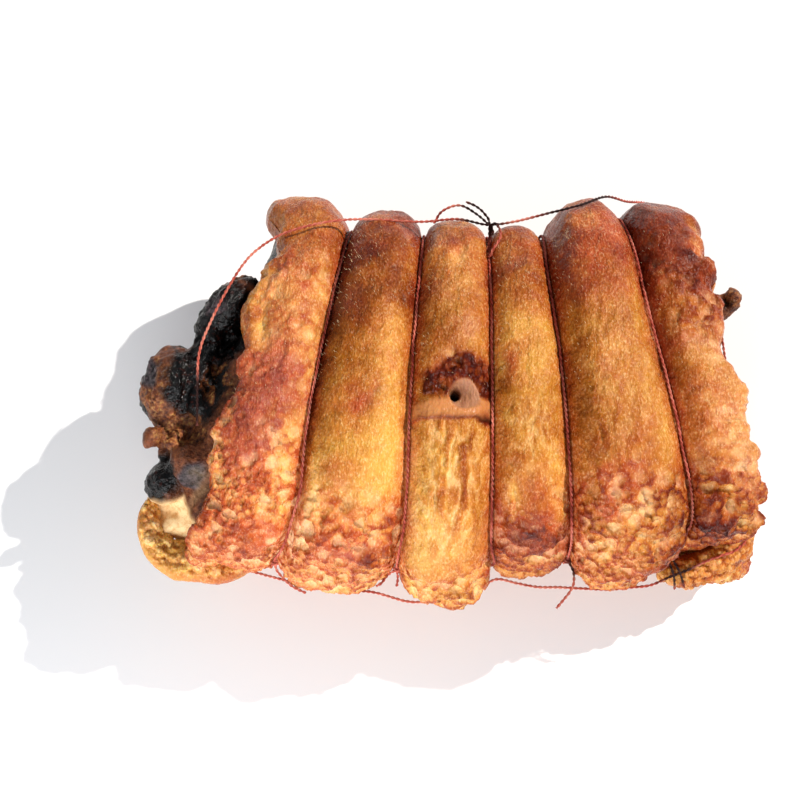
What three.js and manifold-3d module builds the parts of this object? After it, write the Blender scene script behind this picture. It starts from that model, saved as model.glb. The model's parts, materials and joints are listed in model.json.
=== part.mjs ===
// Porchetta: a pork belly rolled skin side out round its meat, tied with five rings of twine and one
// length of twine along its middle, and roasted until the skin puffed up between the ties.
//
// Millimetres, +Z up. The roll lies along X and its seam faces -Y. The origin is at the middle of the
// underside. The skin is one sheet, open at both ends and along the seam. A place on it is given by a
// "station", which counts lobes from the left end (0) to the right end (6), so that whole numbers from
// 1 to 5 are the ties, and by an "angle" round the roll in degrees: 0 front, 90 top, 180 back, 270 under.
import * as THREE from 'three';
import { mergeVertices } from 'three/addons/utils/BufferGeometryUtils.js';
import Module from 'manifold-3d';

const wasm = await Module();
wasm.setup();

// Lengths along the roll, measured at its middle, before the fan.
const LEFT_END = -101;
const RIGHT_END = 133;
const TIE_PLACES = [-62.8, -20.2, 16.5, 48, 95];
const LOBES = TIE_PLACES.length + 1;
// Where each tie has slipped sideways: how far, at which angle, and its reach.
const TIE_WAVES = [
  [{ out: -5.5, at: -2, reach: 18 }, { out: 2.4, at: 52, reach: 16 }],
  [{ out: 2.6, at: 45, reach: 35 }],
  [{ out: 2.2, at: 0, reach: 15 }],
  [{ out: -1.8, at: 125, reach: 25 }],
  [
    { out: -9, at: -2, reach: 12 },
    { out: 1.5, at: 35, reach: 25 },
    { out: -1.8, at: 105, reach: 18 },
  ],
];
// Where the end edges of the skin stand out or draw back.
const LEFT_EDGE_WAVES = [
  { out: -13, at: 168, reach: 24 },
  { out: 3, at: 122, reach: 5 },
  { out: -4, at: 107, reach: 6 },
  { out: 3, at: 88, reach: 7 },
  { out: 5, at: 49, reach: 10 },
];
const RIGHT_EDGE_WAVES = [
  { out: -8, at: 60, reach: 45 },
  { out: -14, at: -8, reach: 24 },
  { out: 5, at: 150, reach: 16 },
];

// The roll is wider at the front than at the back: all its cross lines meet at this point.
const FAN_X = 18;
const FAN_Y = 440;

// Half sizes of the oval section at the bottom of each groove, from the left end to the right end.
const MIDDLE_HEIGHT = 64;
const OVAL_POWER = 2.35;
const GROOVE = {
  front: [76, 77, 80, 78, 76, 68, 64],
  lower: [68, 71, 74, 76, 77, 74, 72],
  back: [82, 80, 77, 76, 77, 86, 84],
  top: [36, 43, 47, 48, 48, 47, 38],
  under: [57, 58, 59, 59, 59, 58, 57],
};
// How far each lobe puffs out beyond its grooves.
const PUFF = {
  front: [6, 13.5, 20, 4, 18, 6],
  lower: [9, 9, 14, 9, 8, 17],
  back: [18, 12, 8, 6, 15, 11],
  top: [12, 14, 12, 11, 16, 13],
  under: [11, 12, 12, 12, 12, 11],
};
// How a lobe swells between two ties: how broad its crown is, and how round its flanks are.
const ARCH = {
  front: { spread: 2.8, fullness: 0.85 },
  lower: { spread: 2.8, fullness: 0.85 },
  back: { spread: 3.2, fullness: 0.9 },
  top: { spread: 3.2, fullness: 0.95 },
  under: { spread: 3.2, fullness: 0.9 },
};
// The end lobes rise to their full puff in less than their length, then drop a little at the free end.
const FREE_END_RISE = 1.6;
const FREE_END_DROP = { from: 0.6, share: 0.08 };

// The sheet: its two long edges meet at the seam, the upper one overhanging the lower one.
const SEAM_UPPER_EDGE = -11;
const SEAM_LOWER_EDGE = 346;
const SKIN_DEPTH = 9;
const END_SKIN_DEPTH = 13;
const SEAM_RIM = 9;
const END_RIM = 5;
const RIM_POWER = 3;
const RIM_STEPS = [0, 0.1, 0.4, 1];
const ANGLE_STEPS = 22;
// Each groove has a flat bottom this share of a lobe wide on either side of its tie.
const GROOVE_FLAT = 0.02;
const LOBE_STEPS = [GROOVE_FLAT, 0.1, 0.26, 0.5, 0.74, 0.9, 1 - GROOVE_FLAT];
// The end lobes leave out the steps that their rims take the place of.
const END_LOBE_SKIP = 3;

// A round hole pushed down through the top of the third lobe, leaning to the left.
const HOLE = { x: 1.4, y: -13.8, top: 131, depth: 17, mouth: 7.2, bottom: 2.3, lean: 14 };
// Its wall: radius as a share of the mouth's, and depth as a share of the whole.
const HOLE_SHOULDER = { radius: 0.8, depth: 0.5 };
const HOLE_THROAT_DEPTH = 0.75;
const HOLE_SIDES = 12;

// Two rolls of puffed skin along the lower leaf: the corner that curls out past the left end, and a flap
// low at the right. Each has points along its middle, then half widths and half heights.
const ROLLS = [
  {
    path: [
      [-91, -74, 55],
      [-99, -79, 54],
      [-110, -81.5, 54],
      [-125, -80, 55],
      [-137.5, -74, 57],
      [-143.5, -62, 60],
      [-142, -48, 64],
    ],
    width: [5, 8, 9.5, 10.5, 9, 6, 4],
    height: [6, 8.5, 9, 9, 9, 9, 7],
  },
  {
    path: [
      [96, -79, 48],
      [104, -81, 48],
      [114, -80, 48],
      [125, -75, 50],
      [134, -66, 52],
      [138, -55, 55],
    ],
    width: [3.5, 8, 9.5, 9.5, 8.5, 5],
    height: [5, 8.5, 9, 9, 9, 8],
  },
];
const ROLL_TAPER_POWER = 6;
const ROLL_STEPS = 14;
const ROLL_SIDES = 10;

// The meat fills the skin and bulges, charred, out of the left end.
const MEAT_GAP = 1;
const MEAT_LEFT_INSET = 5;
const MEAT_RIGHT_INSET = 19;
const MEAT_LEFT_BULGE = 27;
const MEAT_RIGHT_BULGE = 4;
// The left end bulges less at the back, by this share.
const MEAT_BACK_HOLLOW = 0.9;
const MEAT_CAP_STEPS = [0.92, 0.7, 0.4, 0];
// Lumps that stand out of its ends, most of them burnt: centre, half sizes, turn about Z in degrees.
const MEAT_LUMPS = [
  { at: [-132, 2, 74], size: [17, 21, 19], turn: -8 },
  { at: [-105, 39, 85], size: [17, 11, 14], turn: 48 },
  { at: [-134, -43, 71], size: [12, 10, 12], turn: 20 },
  { at: [-118, -36, 79], size: [16, 12, 14], turn: 0 },
  { at: [-118, -49, 61], size: [17, 12, 13], turn: -12 },
  { at: [-122, -56.5, 55.5], size: [15, 10.5, 11], turn: -8 },
  { at: [116, 44, 75], size: [18, 6, 7], turn: 4 },
  { at: [133.5, 44.5, 77], size: [6, 6, 6], turn: 40 },
  { at: [128, 39, 75], size: [5, 4, 5], turn: 0 },
];
const LUMP_SIDES = 10;
const LUMP_RINGS = 6;

// Twine. Each ring lies in its groove; the long one crosses over the rings.
const TWINE = 1.5;
const TWINE_SIDES = 5;
const TWINE_LIFT = 0.6;
// Each knot sits on its ring, pinched between the lobes.
const KNOT = { size: [1.2, 2.2, 2.2], lift: 2.2 };
const CLOSEST_RING_CORNERS = 1.9;
// The loose ends that leave each tie's knot, and the bow that stands up from the third one.
const TAILS = {
  1: [[[-81, -84, 60.5], [-75, -90, 60], [-67, -93, 60]]],
  2: [[[-31, -85, 60], [-33.5, -88.5, 61], [-36, -90, 60]]],
  3: [[[19, 73, 92], [17.5, 76, 94], [11, 81, 97], [3, 84.5, 99], [-5, 82, 98], [-9, 77, 95]]],
  4: [[[56, -84, 62], [55.2, -91, 60], [48, -100, 57]]],
  5: [
    [[101, -80, 62.5], [103, -85.5, 60.5], [104, -90.5, 55]],
    [[103, -79, 62.5], [106, -84.5, 61], [108.5, -90, 55.5]],
  ],
};
const KNOT_ANGLES = { 1: 0, 2: 0, 3: 142, 4: 0, 5: 0 };
const LONG_TWINE = [
  [-118, -21, 93], [-118, -4, 97], [-117, 12, 101], [-111, 28, 103.5], [-102, 46, 104.5],
  [-94, 58, 104], [-83, 67, 103], [-72, 70.5, 105.5], [-58, 74, 105.2], [-42, 76, 103], [-16, 75.5, 101],
  [2, 77, 100.5], [16, 75, 98.5], [28, 76, 99.5], [43, 79.5, 100.5], [59, 82.8, 103.4], [72.5, 90.5, 95],
  [84, 92.5, 84], [95, 97.2, 70], [107, 97.2, 60], [115, 90, 57.5], [121, 76, 57], [126, 60, 57],
  [131, 40, 57], [134, 14, 55.5], [137, -8, 56], [139.5, -30, 57.5], [140.5, -48, 60.5], [140, -60, 62.8],
  [137.3, -68.5, 61.2], [132, -73.4, 60.8], [126, -75.5, 60.5], [119, -78, 60], [110, -82, 58.5],
  [102, -85, 57], [93, -88.5, 53.5], [84, -89.2, 51], [74, -90, 50], [62, -89.6, 50], [50, -89, 50],
  [40, -89, 51], [30, -87.5, 53], [20, -86, 55], [12, -90.5, 50.5], [3, -93.5, 47], [-8, -94.8, 46],
  [-21, -95.5, 48], [-38, -91, 48], [-55, -89.5, 46.5], [-67, -88, 46.5], [-80.5, -85, 47],
  [-92, -81.5, 44], [-100, -79, 43], [-106, -77, 43],
];
const LONG_TWINE_STEPS = 64;
const TAIL_STEPS = 3;

// The whole is moved by this to put the origin at the middle of its underside.
const ORIGIN_SHIFT = new THREE.Vector3(1.08, 0.87, 0);

const { clamp, degToRad, euclideanModulo, lerp, smoothstep } = THREE.MathUtils;

// Each end's edge and each tie is a line round the roll: its length along it at each angle.
function wavyLine(place, waves) {
  return (angle) => waves.reduce((length, { out, at, reach }) => {
    const apart = euclideanModulo(angle - at + 180, 360) - 180;
    return length + out * Math.exp(-((apart / reach) ** 2));
  }, place);
}

const leftEdge = wavyLine(LEFT_END, LEFT_EDGE_WAVES);
const rightEdge = wavyLine(RIGHT_END, RIGHT_EDGE_WAVES);
const tieLines = TIE_PLACES.map((place, tie) => wavyLine(place, TIE_WAVES[tie]));
const LINES = [leftEdge, ...tieLines, rightEdge];

function lobeAt(station) {
  const lobe = clamp(Math.floor(station), 0, LOBES - 1);
  return { lobe, share: station - lobe };
}

function lengthAt(station, angle) {
  const { lobe, share } = lobeAt(station);
  return lerp(LINES[lobe](angle), LINES[lobe + 1](angle), share);
}

function arch(across, { spread, fullness }) {
  return (1 - Math.min(Math.abs(across), 1) ** spread) ** fullness;
}

// How much of its puff a lobe has at this share of its width. The end lobes stay puffed nearly to the end.
function puffShare(lobe, share, shape) {
  if (lobe > 0 && lobe < LOBES - 1) {
    return arch((2 * share - 1) / (1 - 2 * GROOVE_FLAT), shape);
  }
  const fromTie = Math.max(lobe === 0 ? 1 - share : share, GROOVE_FLAT) - GROOVE_FLAT;
  const drop = FREE_END_DROP.share * smoothstep(fromTie, FREE_END_DROP.from, 1);
  return arch(1 - Math.min(FREE_END_RISE * fromTie, 1), shape) - drop;
}

function outerHalf(side, station) {
  const { lobe, share } = lobeAt(station);
  const groove = lerp(GROOVE[side][lobe], GROOVE[side][lobe + 1], share);
  return groove + PUFF[side][lobe] * puffShare(lobe, share, ARCH[side]);
}

function innerHalf(side, station) {
  const { lobe, share } = lobeAt(station);
  const atLine = (line) => {
    const isEnd = line === 0 || line === LOBES;
    return isEnd ? outerHalf(side, line) - END_SKIN_DEPTH : GROOVE[side][line] - SKIN_DEPTH;
  };
  return lerp(atLine(lobe), atLine(lobe + 1), share);
}

function ovalShare(value) {
  return Math.sign(value) * Math.abs(value) ** (2 / OVAL_POWER);
}

// A point on an oval section whose half sizes are given by half(side).
function ovalPoint(half, station, angle) {
  const cos = Math.cos(degToRad(angle));
  const sin = Math.sin(degToRad(angle));
  const front = angle < 180 ? 'front' : 'lower';
  const y = -half(cos > 0 ? front : 'back', station) * ovalShare(cos);
  const z = MIDDLE_HEIGHT + half(sin >= 0 ? 'top' : 'under', station) * ovalShare(sin);
  const u = lengthAt(station, angle);
  const x = FAN_X + (u - FAN_X) * (1 - y / FAN_Y);
  return new THREE.Vector3(x, y, Math.max(z, 0));
}

// 0 at an edge of the sheet, 1 from one rim's width inwards, and round in between.
function rimShare(distance, rim) {
  const inward = 1 - clamp(distance / rim, 0, 1);
  return (1 - inward ** RIM_POWER) ** (1 / RIM_POWER);
}

function sheetPoint(station, angle, isOuter) {
  const outer = ovalPoint(outerHalf, station, angle);
  const inner = ovalPoint(innerHalf, station, angle);
  const degree = degToRad(GROOVE.front[3]);
  const fromSeam = Math.min(angle - SEAM_UPPER_EDGE, SEAM_LOWER_EDGE - angle) * degree;
  const u = lengthAt(station, angle);
  const fromEnd = Math.min(u - leftEdge(angle), rightEdge(angle) - u);
  const full = rimShare(fromSeam, SEAM_RIM) * rimShare(fromEnd, END_RIM);
  const middle = outer.clone().lerp(inner, 0.5);
  return middle.lerp(isOuter ? outer : inner, full);
}

// A surface through rings of points, closed where its first and last rings fold flat or meet in a point.
function ringGeometry(rings) {
  const size = rings[0].length;
  const positions = rings.flat().flatMap((point) => point.toArray());
  const index = [];
  for (let i = 0; i + 1 < rings.length; i += 1) {
    for (let j = 0; j < size; j += 1) {
      const a = i * size + j;
      const b = i * size + ((j + 1) % size);
      index.push(a, b, a + size, b, b + size, a + size);
    }
  }
  const geometry = new THREE.BufferGeometry();
  geometry.setAttribute('position', new THREE.Float32BufferAttribute(positions, 3));
  geometry.setIndex(index);
  return geometry;
}

// The closed solid that a geometry's faces bound, whichever way they face.
function toSolid(geometry) {
  const bare = geometry.clone();
  bare.deleteAttribute('normal');
  bare.deleteAttribute('uv');
  const merged = mergeVertices(bare, 1e-3);
  const points = merged.getAttribute('position').array;
  const corners = merged.getIndex().array;
  const at = (corner) => new THREE.Vector3().fromArray(points, 3 * corner);
  const faces = [];
  let volume = 0;
  for (let i = 0; i < corners.length; i += 3) {
    const [a, b, c] = corners.slice(i, i + 3);
    if (a !== b && b !== c && c !== a) {
      faces.push([a, b, c]);
      volume += at(a).dot(at(b).cross(at(c)));
    }
  }
  const outward = volume > 0 ? faces : faces.map(([a, b, c]) => [a, c, b]);
  return new wasm.Manifold(new wasm.Mesh({
    numProp: 3,
    vertProperties: new Float32Array(points),
    triVerts: new Uint32Array(outward.flat()),
  }));
}

function toGeometry(solid) {
  const mesh = solid.getMesh();
  const geometry = new THREE.BufferGeometry();
  geometry.setAttribute('position', new THREE.BufferAttribute(mesh.vertProperties, 3));
  geometry.setIndex(new THREE.BufferAttribute(mesh.triVerts, 1));
  geometry.computeVertexNormals();
  return geometry;
}

function joined(solids) {
  return solids.reduce((whole, solid) => whole.add(solid));
}

function twineAlong(points, steps) {
  const path = new THREE.CatmullRomCurve3(points.map((point) => new THREE.Vector3(...point)));
  const section = new THREE.Shape();
  for (let i = 0; i < TWINE_SIDES; i += 1) {
    const turn = (2 * Math.PI * i) / TWINE_SIDES;
    const corner = [(TWINE / 2) * Math.cos(turn), (TWINE / 2) * Math.sin(turn)];
    if (i === 0) {
      section.moveTo(...corner);
    } else {
      section.lineTo(...corner);
    }
  }
  return toSolid(new THREE.ExtrudeGeometry(section, { steps, extrudePath: path, bevelEnabled: false }));
}

function ellipsoid({ at, size, turn }) {
  const geometry = new THREE.SphereGeometry(1, LUMP_SIDES, LUMP_RINGS);
  geometry.scale(...size);
  geometry.rotateZ(degToRad(turn));
  geometry.translate(...at);
  return toSolid(geometry);
}

// Angles round the sheet, close together at the rims of the seam.
function sheetAngles() {
  const rim = SEAM_RIM / degToRad(GROOVE.front[3]);
  const first = SEAM_UPPER_EDGE + rim;
  const last = SEAM_LOWER_EDGE - rim;
  const upper = RIM_STEPS.map((step) => SEAM_UPPER_EDGE + rim * step);
  const lower = RIM_STEPS.map((step) => SEAM_LOWER_EDGE - rim * step).reverse();
  const between = [];
  for (let i = 1; i < ANGLE_STEPS; i += 1) {
    between.push(lerp(first, last, i / ANGLE_STEPS));
  }
  return [...upper, ...between, ...lower];
}

// Stations along the sheet: close together at its end rims, with a flat at the bottom of each groove.
function sheetStations() {
  const rims = RIM_STEPS.map((step) => (step * END_RIM) / (TIE_PLACES[0] - LEFT_END));
  const stations = [...rims, ...rims.map((rim) => LOBES - rim)];
  for (let lobe = 0; lobe < LOBES; lobe += 1) {
    const first = lobe === 0 ? END_LOBE_SKIP : 0;
    const last = LOBE_STEPS.length - (lobe === LOBES - 1 ? END_LOBE_SKIP : 0);
    stations.push(...LOBE_STEPS.slice(first, last).map((step) => lobe + step));
    if (lobe > 0) {
      stations.push(lobe);
    }
  }
  return stations.sort((a, b) => a - b);
}

function skinSheet() {
  const angles = sheetAngles();
  const back = angles.slice(1, -1).reverse();
  const rings = sheetStations().map((station) => [
    ...angles.map((angle) => sheetPoint(station, angle, true)),
    ...back.map((angle) => sheetPoint(station, angle, false)),
  ]);
  return toSolid(ringGeometry(rings));
}

function valueAlong(values, share) {
  const place = share * (values.length - 1);
  const before = Math.min(Math.floor(place), values.length - 2);
  return lerp(values[before], values[before + 1], place - before);
}

// An oval roll that tapers to a point at both ends.
function rollSolid({ path, width, height }) {
  const line = new THREE.CatmullRomCurve3(path.map((point) => new THREE.Vector3(...point)));
  const up = new THREE.Vector3(0, 0, 1);
  const rings = [];
  for (let i = 0; i <= ROLL_STEPS; i += 1) {
    const share = i / ROLL_STEPS;
    const centre = line.getPoint(share);
    const side = line.getTangent(share).cross(up).normalize();
    const taper = Math.sqrt(Math.max(0, 1 - Math.abs(2 * share - 1) ** ROLL_TAPER_POWER));
    const across = valueAlong(width, share) * taper;
    const rise = valueAlong(height, share) * taper;
    const ring = [];
    for (let j = 0; j < ROLL_SIDES; j += 1) {
      const turn = (2 * Math.PI * j) / ROLL_SIDES;
      const point = centre.clone().addScaledVector(side, across * Math.cos(turn));
      ring.push(point.addScaledVector(up, rise * Math.sin(turn)));
    }
    rings.push(ring);
  }
  return toSolid(ringGeometry(rings));
}

function holeCutter() {
  const profile = [
    new THREE.Vector2(0, -HOLE.depth),
    new THREE.Vector2(HOLE.bottom, -HOLE.depth),
    new THREE.Vector2(HOLE.bottom, -HOLE.depth * HOLE_THROAT_DEPTH),
    new THREE.Vector2(HOLE.mouth * HOLE_SHOULDER.radius, -HOLE.depth * HOLE_SHOULDER.depth),
    new THREE.Vector2(HOLE.mouth, 0),
    new THREE.Vector2(0, 0),
  ];
  const geometry = new THREE.LatheGeometry(profile, HOLE_SIDES);
  geometry.rotateX(Math.PI / 2);
  geometry.rotateY(degToRad(HOLE.lean));
  geometry.translate(HOLE.x, HOLE.y, HOLE.top);
  return toSolid(geometry);
}

// A point of the meat: a section just inside the skin, shrunk towards its middle and moved along X.
function meatPoint(station, angle, shrink, outward) {
  const towardsBack = smoothstep(-Math.cos(degToRad(angle)), 0, 0.5);
  const hollow = MEAT_BACK_HOLLOW * shrink * towardsBack;
  const half = (side, place) => innerHalf(side, place) - MEAT_GAP;
  const rim = ovalPoint(half, station, angle);
  const point = rim.clone();
  point.y *= shrink;
  point.z = lerp(MIDDLE_HEIGHT, rim.z, shrink);
  point.x = lerp(lengthAt(station, 90), rim.x, shrink) + outward * (1 - hollow);
  return point;
}

function meatCore() {
  const angles = sheetAngles().slice(0, -1);
  const leftStation = MEAT_LEFT_INSET / (TIE_PLACES[0] - LEFT_END);
  const rightStation = LOBES - MEAT_RIGHT_INSET / (RIGHT_END - TIE_PLACES[4]);
  const ringOf = (station, shrink, outward) =>
    angles.map((angle) => meatPoint(station, angle, shrink, outward));
  const domed = (shrink) => Math.sqrt(1 - shrink ** 2);
  const left = [...MEAT_CAP_STEPS].reverse()
    .map((shrink) => ringOf(leftStation, shrink, -MEAT_LEFT_BULGE * domed(shrink)));
  const between = [leftStation, 1, 2, 3, 4, 5, rightStation].map((station) => ringOf(station, 1, 0));
  const right = MEAT_CAP_STEPS
    .map((shrink) => ringOf(rightStation, shrink, MEAT_RIGHT_BULGE * domed(shrink)));
  return toSolid(ringGeometry([...left, ...between, ...right]));
}

// The ring of one tie, with a corner at each of the sheet's angles so that both bend alike.
class TieCurve extends THREE.Curve {
  constructor(tie) {
    super();
    this.tie = tie;
    const angles = sheetAngles();
    this.angles = angles.filter((angle, i) => i === 0 || angle - angles[i - 1] > CLOSEST_RING_CORNERS);
  }

  getUtoTmapping(share) {
    return share;
  }

  getPoint(share) {
    const place = (share % 1) * this.angles.length;
    const before = Math.floor(place);
    const corner = (i) => this.cornerAt(this.angles[i % this.angles.length]);
    return corner(before).lerp(corner(before + 1), place - before);
  }

  // The point at this angle on the straight pieces between the ring's corners.
  pointAt(angle) {
    const after = this.angles.findIndex((corner) => corner > angle);
    const from = this.angles[after - 1];
    const to = this.angles[after];
    return this.cornerAt(from).lerp(this.cornerAt(to), (angle - from) / (to - from));
  }

  cornerAt(angle) {
    const lift = TWINE / 2 + TWINE_LIFT;
    const half = (side, station) => outerHalf(side, station) + lift;
    return ovalPoint(half, this.tie, angle);
  }
}

function tieSolid(tie) {
  const curve = new TieCurve(tie);
  const ring = new THREE.TubeGeometry(curve, curve.angles.length, TWINE / 2, TWINE_SIDES, true);
  const knotAt = curve.pointAt(KNOT_ANGLES[tie]);
  const outward = new THREE.Vector3(0, knotAt.y, knotAt.z - MIDDLE_HEIGHT).normalize();
  const start = knotAt.addScaledVector(outward, KNOT.lift).toArray();
  const knot = ellipsoid({ at: start, size: KNOT.size, turn: 0 });
  const tails = TAILS[tie].map((points) => twineAlong([start, ...points], TAIL_STEPS * points.length));
  return joined([toSolid(ring), knot, ...tails]);
}

const SKIN = new THREE.MeshStandardMaterial({ color: 0xb9682f, roughness: 0.42, metalness: 0 });
const MEAT = new THREE.MeshStandardMaterial({ color: 0x3a1c12, roughness: 0.5, metalness: 0 });
const STRING = new THREE.MeshStandardMaterial({ color: 0x7d3a2a, roughness: 0.8, metalness: 0 });

const porchetta = new THREE.Group();
porchetta.position.copy(ORIGIN_SHIFT);

function addPart(name, solid, material) {
  const mesh = new THREE.Mesh(toGeometry(solid), material);
  mesh.name = name;
  porchetta.add(mesh);
}

const longTwine = twineAlong(LONG_TWINE, LONG_TWINE_STEPS);
const skin = joined([skinSheet(), ...ROLLS.map(rollSolid)]).subtract(holeCutter());
const meat = joined([meatCore(), ...MEAT_LUMPS.map(ellipsoid)]);

addPart('skin', skin, SKIN);
addPart('meat', meat, MEAT);
for (let tie = 1; tie < LOBES; tie += 1) {
  addPart(`tie_${tie}`, tieSolid(tie), STRING);
}
addPart('long_twine', longTwine, STRING);

export default porchetta;
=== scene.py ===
"""Porchetta: a pork belly rolled skin side out round its meat, tied with twine and roasted.

Laid out as a Blender add-on and run as a script. Lengths inside the making functions are millimetres in
the part's own drawing frame; make_piece() moves them to the row frame and turns them to metres.

The skin is one sheet. A place on it is given by a lobe (0 to 5 from the left end), a share of that lobe's
width (0 to 1, where 0 and 1 are ties or ends) and an angle round the roll in degrees (0 front, 90 top,
180 back, 270 under).
"""

import json
import math

import bmesh
import bpy
import numpy as np
from bpy.props import FloatProperty, FloatVectorProperty, IntProperty, PointerProperty
from mathutils import Matrix, Vector

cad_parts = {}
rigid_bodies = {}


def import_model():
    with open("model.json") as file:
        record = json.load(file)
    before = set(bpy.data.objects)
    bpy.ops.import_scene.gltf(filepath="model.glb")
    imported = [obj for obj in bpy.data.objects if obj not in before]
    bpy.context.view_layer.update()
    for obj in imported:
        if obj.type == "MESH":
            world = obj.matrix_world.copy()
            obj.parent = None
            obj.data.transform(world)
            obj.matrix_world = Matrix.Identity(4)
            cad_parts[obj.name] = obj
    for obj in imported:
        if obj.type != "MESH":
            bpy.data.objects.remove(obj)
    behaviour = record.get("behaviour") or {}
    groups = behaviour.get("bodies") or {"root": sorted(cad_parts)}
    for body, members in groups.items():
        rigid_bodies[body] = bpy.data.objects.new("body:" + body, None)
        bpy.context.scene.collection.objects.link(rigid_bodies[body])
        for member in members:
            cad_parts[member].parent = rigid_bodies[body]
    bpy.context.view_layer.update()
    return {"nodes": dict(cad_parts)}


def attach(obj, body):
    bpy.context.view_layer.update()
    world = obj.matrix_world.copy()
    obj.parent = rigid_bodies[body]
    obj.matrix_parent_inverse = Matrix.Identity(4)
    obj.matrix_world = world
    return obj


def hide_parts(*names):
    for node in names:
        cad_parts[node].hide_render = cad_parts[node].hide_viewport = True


bl_info = {
    "name": "Porchetta",
    "version": (1, 0, 0),
    "blender": (4, 5, 0),
    "location": "View3D > Sidebar > Porchetta",
    "description": "Makes the crackling, meat, twine and stage of a tied roast porchetta",
    "category": "Object",
}

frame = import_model()

MM = 0.001
# The drawing frame's origin, seen from the row frame.
SHIFT = np.array([1.08, 0.87, 0.0])

# ---------------------------------------------------------------- the roll's own sizes, as in the part

LOBES = 6
LEFT_END, RIGHT_END = -101.0, 133.0
TIE_PLACES = (-62.8, -20.2, 16.5, 48.0, 95.0)
TIE_WAVES = (
    ((-5.5, -2.0, 18.0), (2.4, 52.0, 16.0)),
    ((2.6, 45.0, 35.0),),
    ((2.2, 0.0, 15.0),),
    ((-1.8, 125.0, 25.0),),
    ((-9.0, -2.0, 12.0), (1.5, 35.0, 25.0), (-1.8, 105.0, 18.0)),
)
FAN_X, FAN_Y = 18.0, 440.0
MIDDLE_HEIGHT = 64.0
OVAL_POWER = 2.35
GROOVE = {
    "front": (76, 77, 80, 78, 76, 68, 64),
    "lower": (68, 71, 74, 76, 77, 74, 72),
    "back": (82, 80, 77, 76, 77, 86, 84),
    "top": (36, 43, 47, 48, 48, 47, 38),
    "under": (57, 58, 59, 59, 59, 58, 57),
}
PUFF = {
    "front": (6, 13.5, 20, 4, 18, 6),
    "lower": (9, 9, 14, 9, 8, 17),
    "back": (18, 12, 8, 6, 15, 11),
    "top": (12, 14, 12, 11, 16, 13),
    "under": (11, 12, 12, 12, 12, 11),
}
# How a lobe swells between two ties, by side: how broad its crown is, and how round its flanks are.
ARCH = {
    "front": (2.8, 0.85),
    "lower": (2.8, 0.85),
    "back": (3.2, 0.9),
    "top": (3.2, 0.95),
    "under": (3.2, 0.9),
}
FREE_END_RISE, FREE_END_DROP, DROP_FROM = 1.6, 0.08, 0.6
SEAM_UPPER_EDGE, SEAM_LOWER_EDGE = -11.0, 346.0
SKIN_DEPTH, END_SKIN_DEPTH = 9.0, 13.0
SEAM_RIM, END_RIM, RIM_POWER = 9.0, 5.0, 3.0
GROOVE_FLAT = 0.02
HOLE_LOBE = 2
# The hole is a funnel: its mouth, a wall that slopes to a narrow opening off to the left, and a shaft.
HOLE = {
    "x": 3.6,
    "y": -13.6,
    "mouth": 7.0,
    "opening": 2.3,
    "aside": 4.2,
    "funnel": 6.0,
    "depth": 16.0,
}

# Waves of the two end edges: how far along, at which angle, over what reach. The first line of each is the
# part's own; the others are the scallops of the crackling.
LEFT_WAVES = (
    (-13.0, 168.0, 24.0), (3.0, 122.0, 5.0), (-4.0, 107.0, 6.0), (3.0, 88.0, 7.0), (5.0, 49.0, 10.0),
    (3.5, 127.0, 3.0), (-3.5, 119.0, 4.0), (2.5, 94.5, 1.6), (-1.5, 91.5, 1.5), (2.0, 86.0, 2.5),
    (-2.5, 73.0, 5.0), (-3.0, 188.0, 10.0), (-3.0, 167.0, 8.0), (-2.5, 153.0, 5.0), (2.0, 140.0, 5.0),
    (1.5, 131.0, 3.0), (-3.0, 103.0, 5.0), (2.5, 114.5, 1.6), (-1.5, 62.0, 2.5),
)
RIGHT_WAVES = (
    (-8.0, 60.0, 45.0), (-14.0, -8.0, 24.0), (5.0, 150.0, 16.0),
    (-4.5, 94.0, 5.0), (2.0, 84.0, 5.0), (2.5, 108.0, 4.0), (-2.5, 114.0, 3.0), (2.5, 120.0, 4.0),
    (-2.0, 127.0, 3.0), (3.0, 40.0, 6.0), (-3.0, 31.0, 5.0), (2.0, 60.0, 5.0), (-1.5, 67.0, 3.0),
)

# ---------------------------------------------------------------- how the skin roasted

TONE_ANGLES = (-10, 8, 25, 45, 65, 85, 100, 115, 130, 150, 185, 240, 300, 346)
# From 0, pale gold, to 1, nearly black.
BROWNING = (
    (.20, .18, .36, .38, .44, .48, .40, .40, .46, .50, .60, .60, .50, .30),
    (.22, .24, .36, .34, .40, .48, .55, .66, .60, .66, .66, .58, .45, .25),
    (.24, .32, .38, .38, .38, .48, .50, .48, .44, .52, .62, .58, .45, .25),
    (.42, .48, .56, .50, .48, .48, .44, .48, .48, .54, .62, .58, .45, .45),
    (.34, .42, .50, .50, .53, .54, .49, .50, .53, .52, .62, .58, .45, .30),
    (.42, .46, .52, .48, .47, .46, .46, .60, .66, .62, .62, .58, .45, .30),
)
# From 0, yellow brown, to 1, red brown.
REDNESS = (
    (.60, .65, .90, .90, .85, .80, .50, .50, .60, .65, .70, .50, .50, .40),
    (.45, .60, .85, .55, .20, .30, .35, .55, .70, .80, .70, .50, .40, .30),
    (.25, .35, .35, .20, .10, .30, .40, .50, .50, .60, .70, .50, .40, .30),
    (.70, .75, .90, .60, .25, .12, .20, .50, .60, .65, .70, .50, .40, .50),
    (.60, .65, .65, .50, .30, .20, .25, .70, .85, .85, .70, .50, .40, .30),
    (.55, .60, .60, .55, .60, .50, .65, .90, .85, .80, .70, .50, .40, .30),
)
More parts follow.
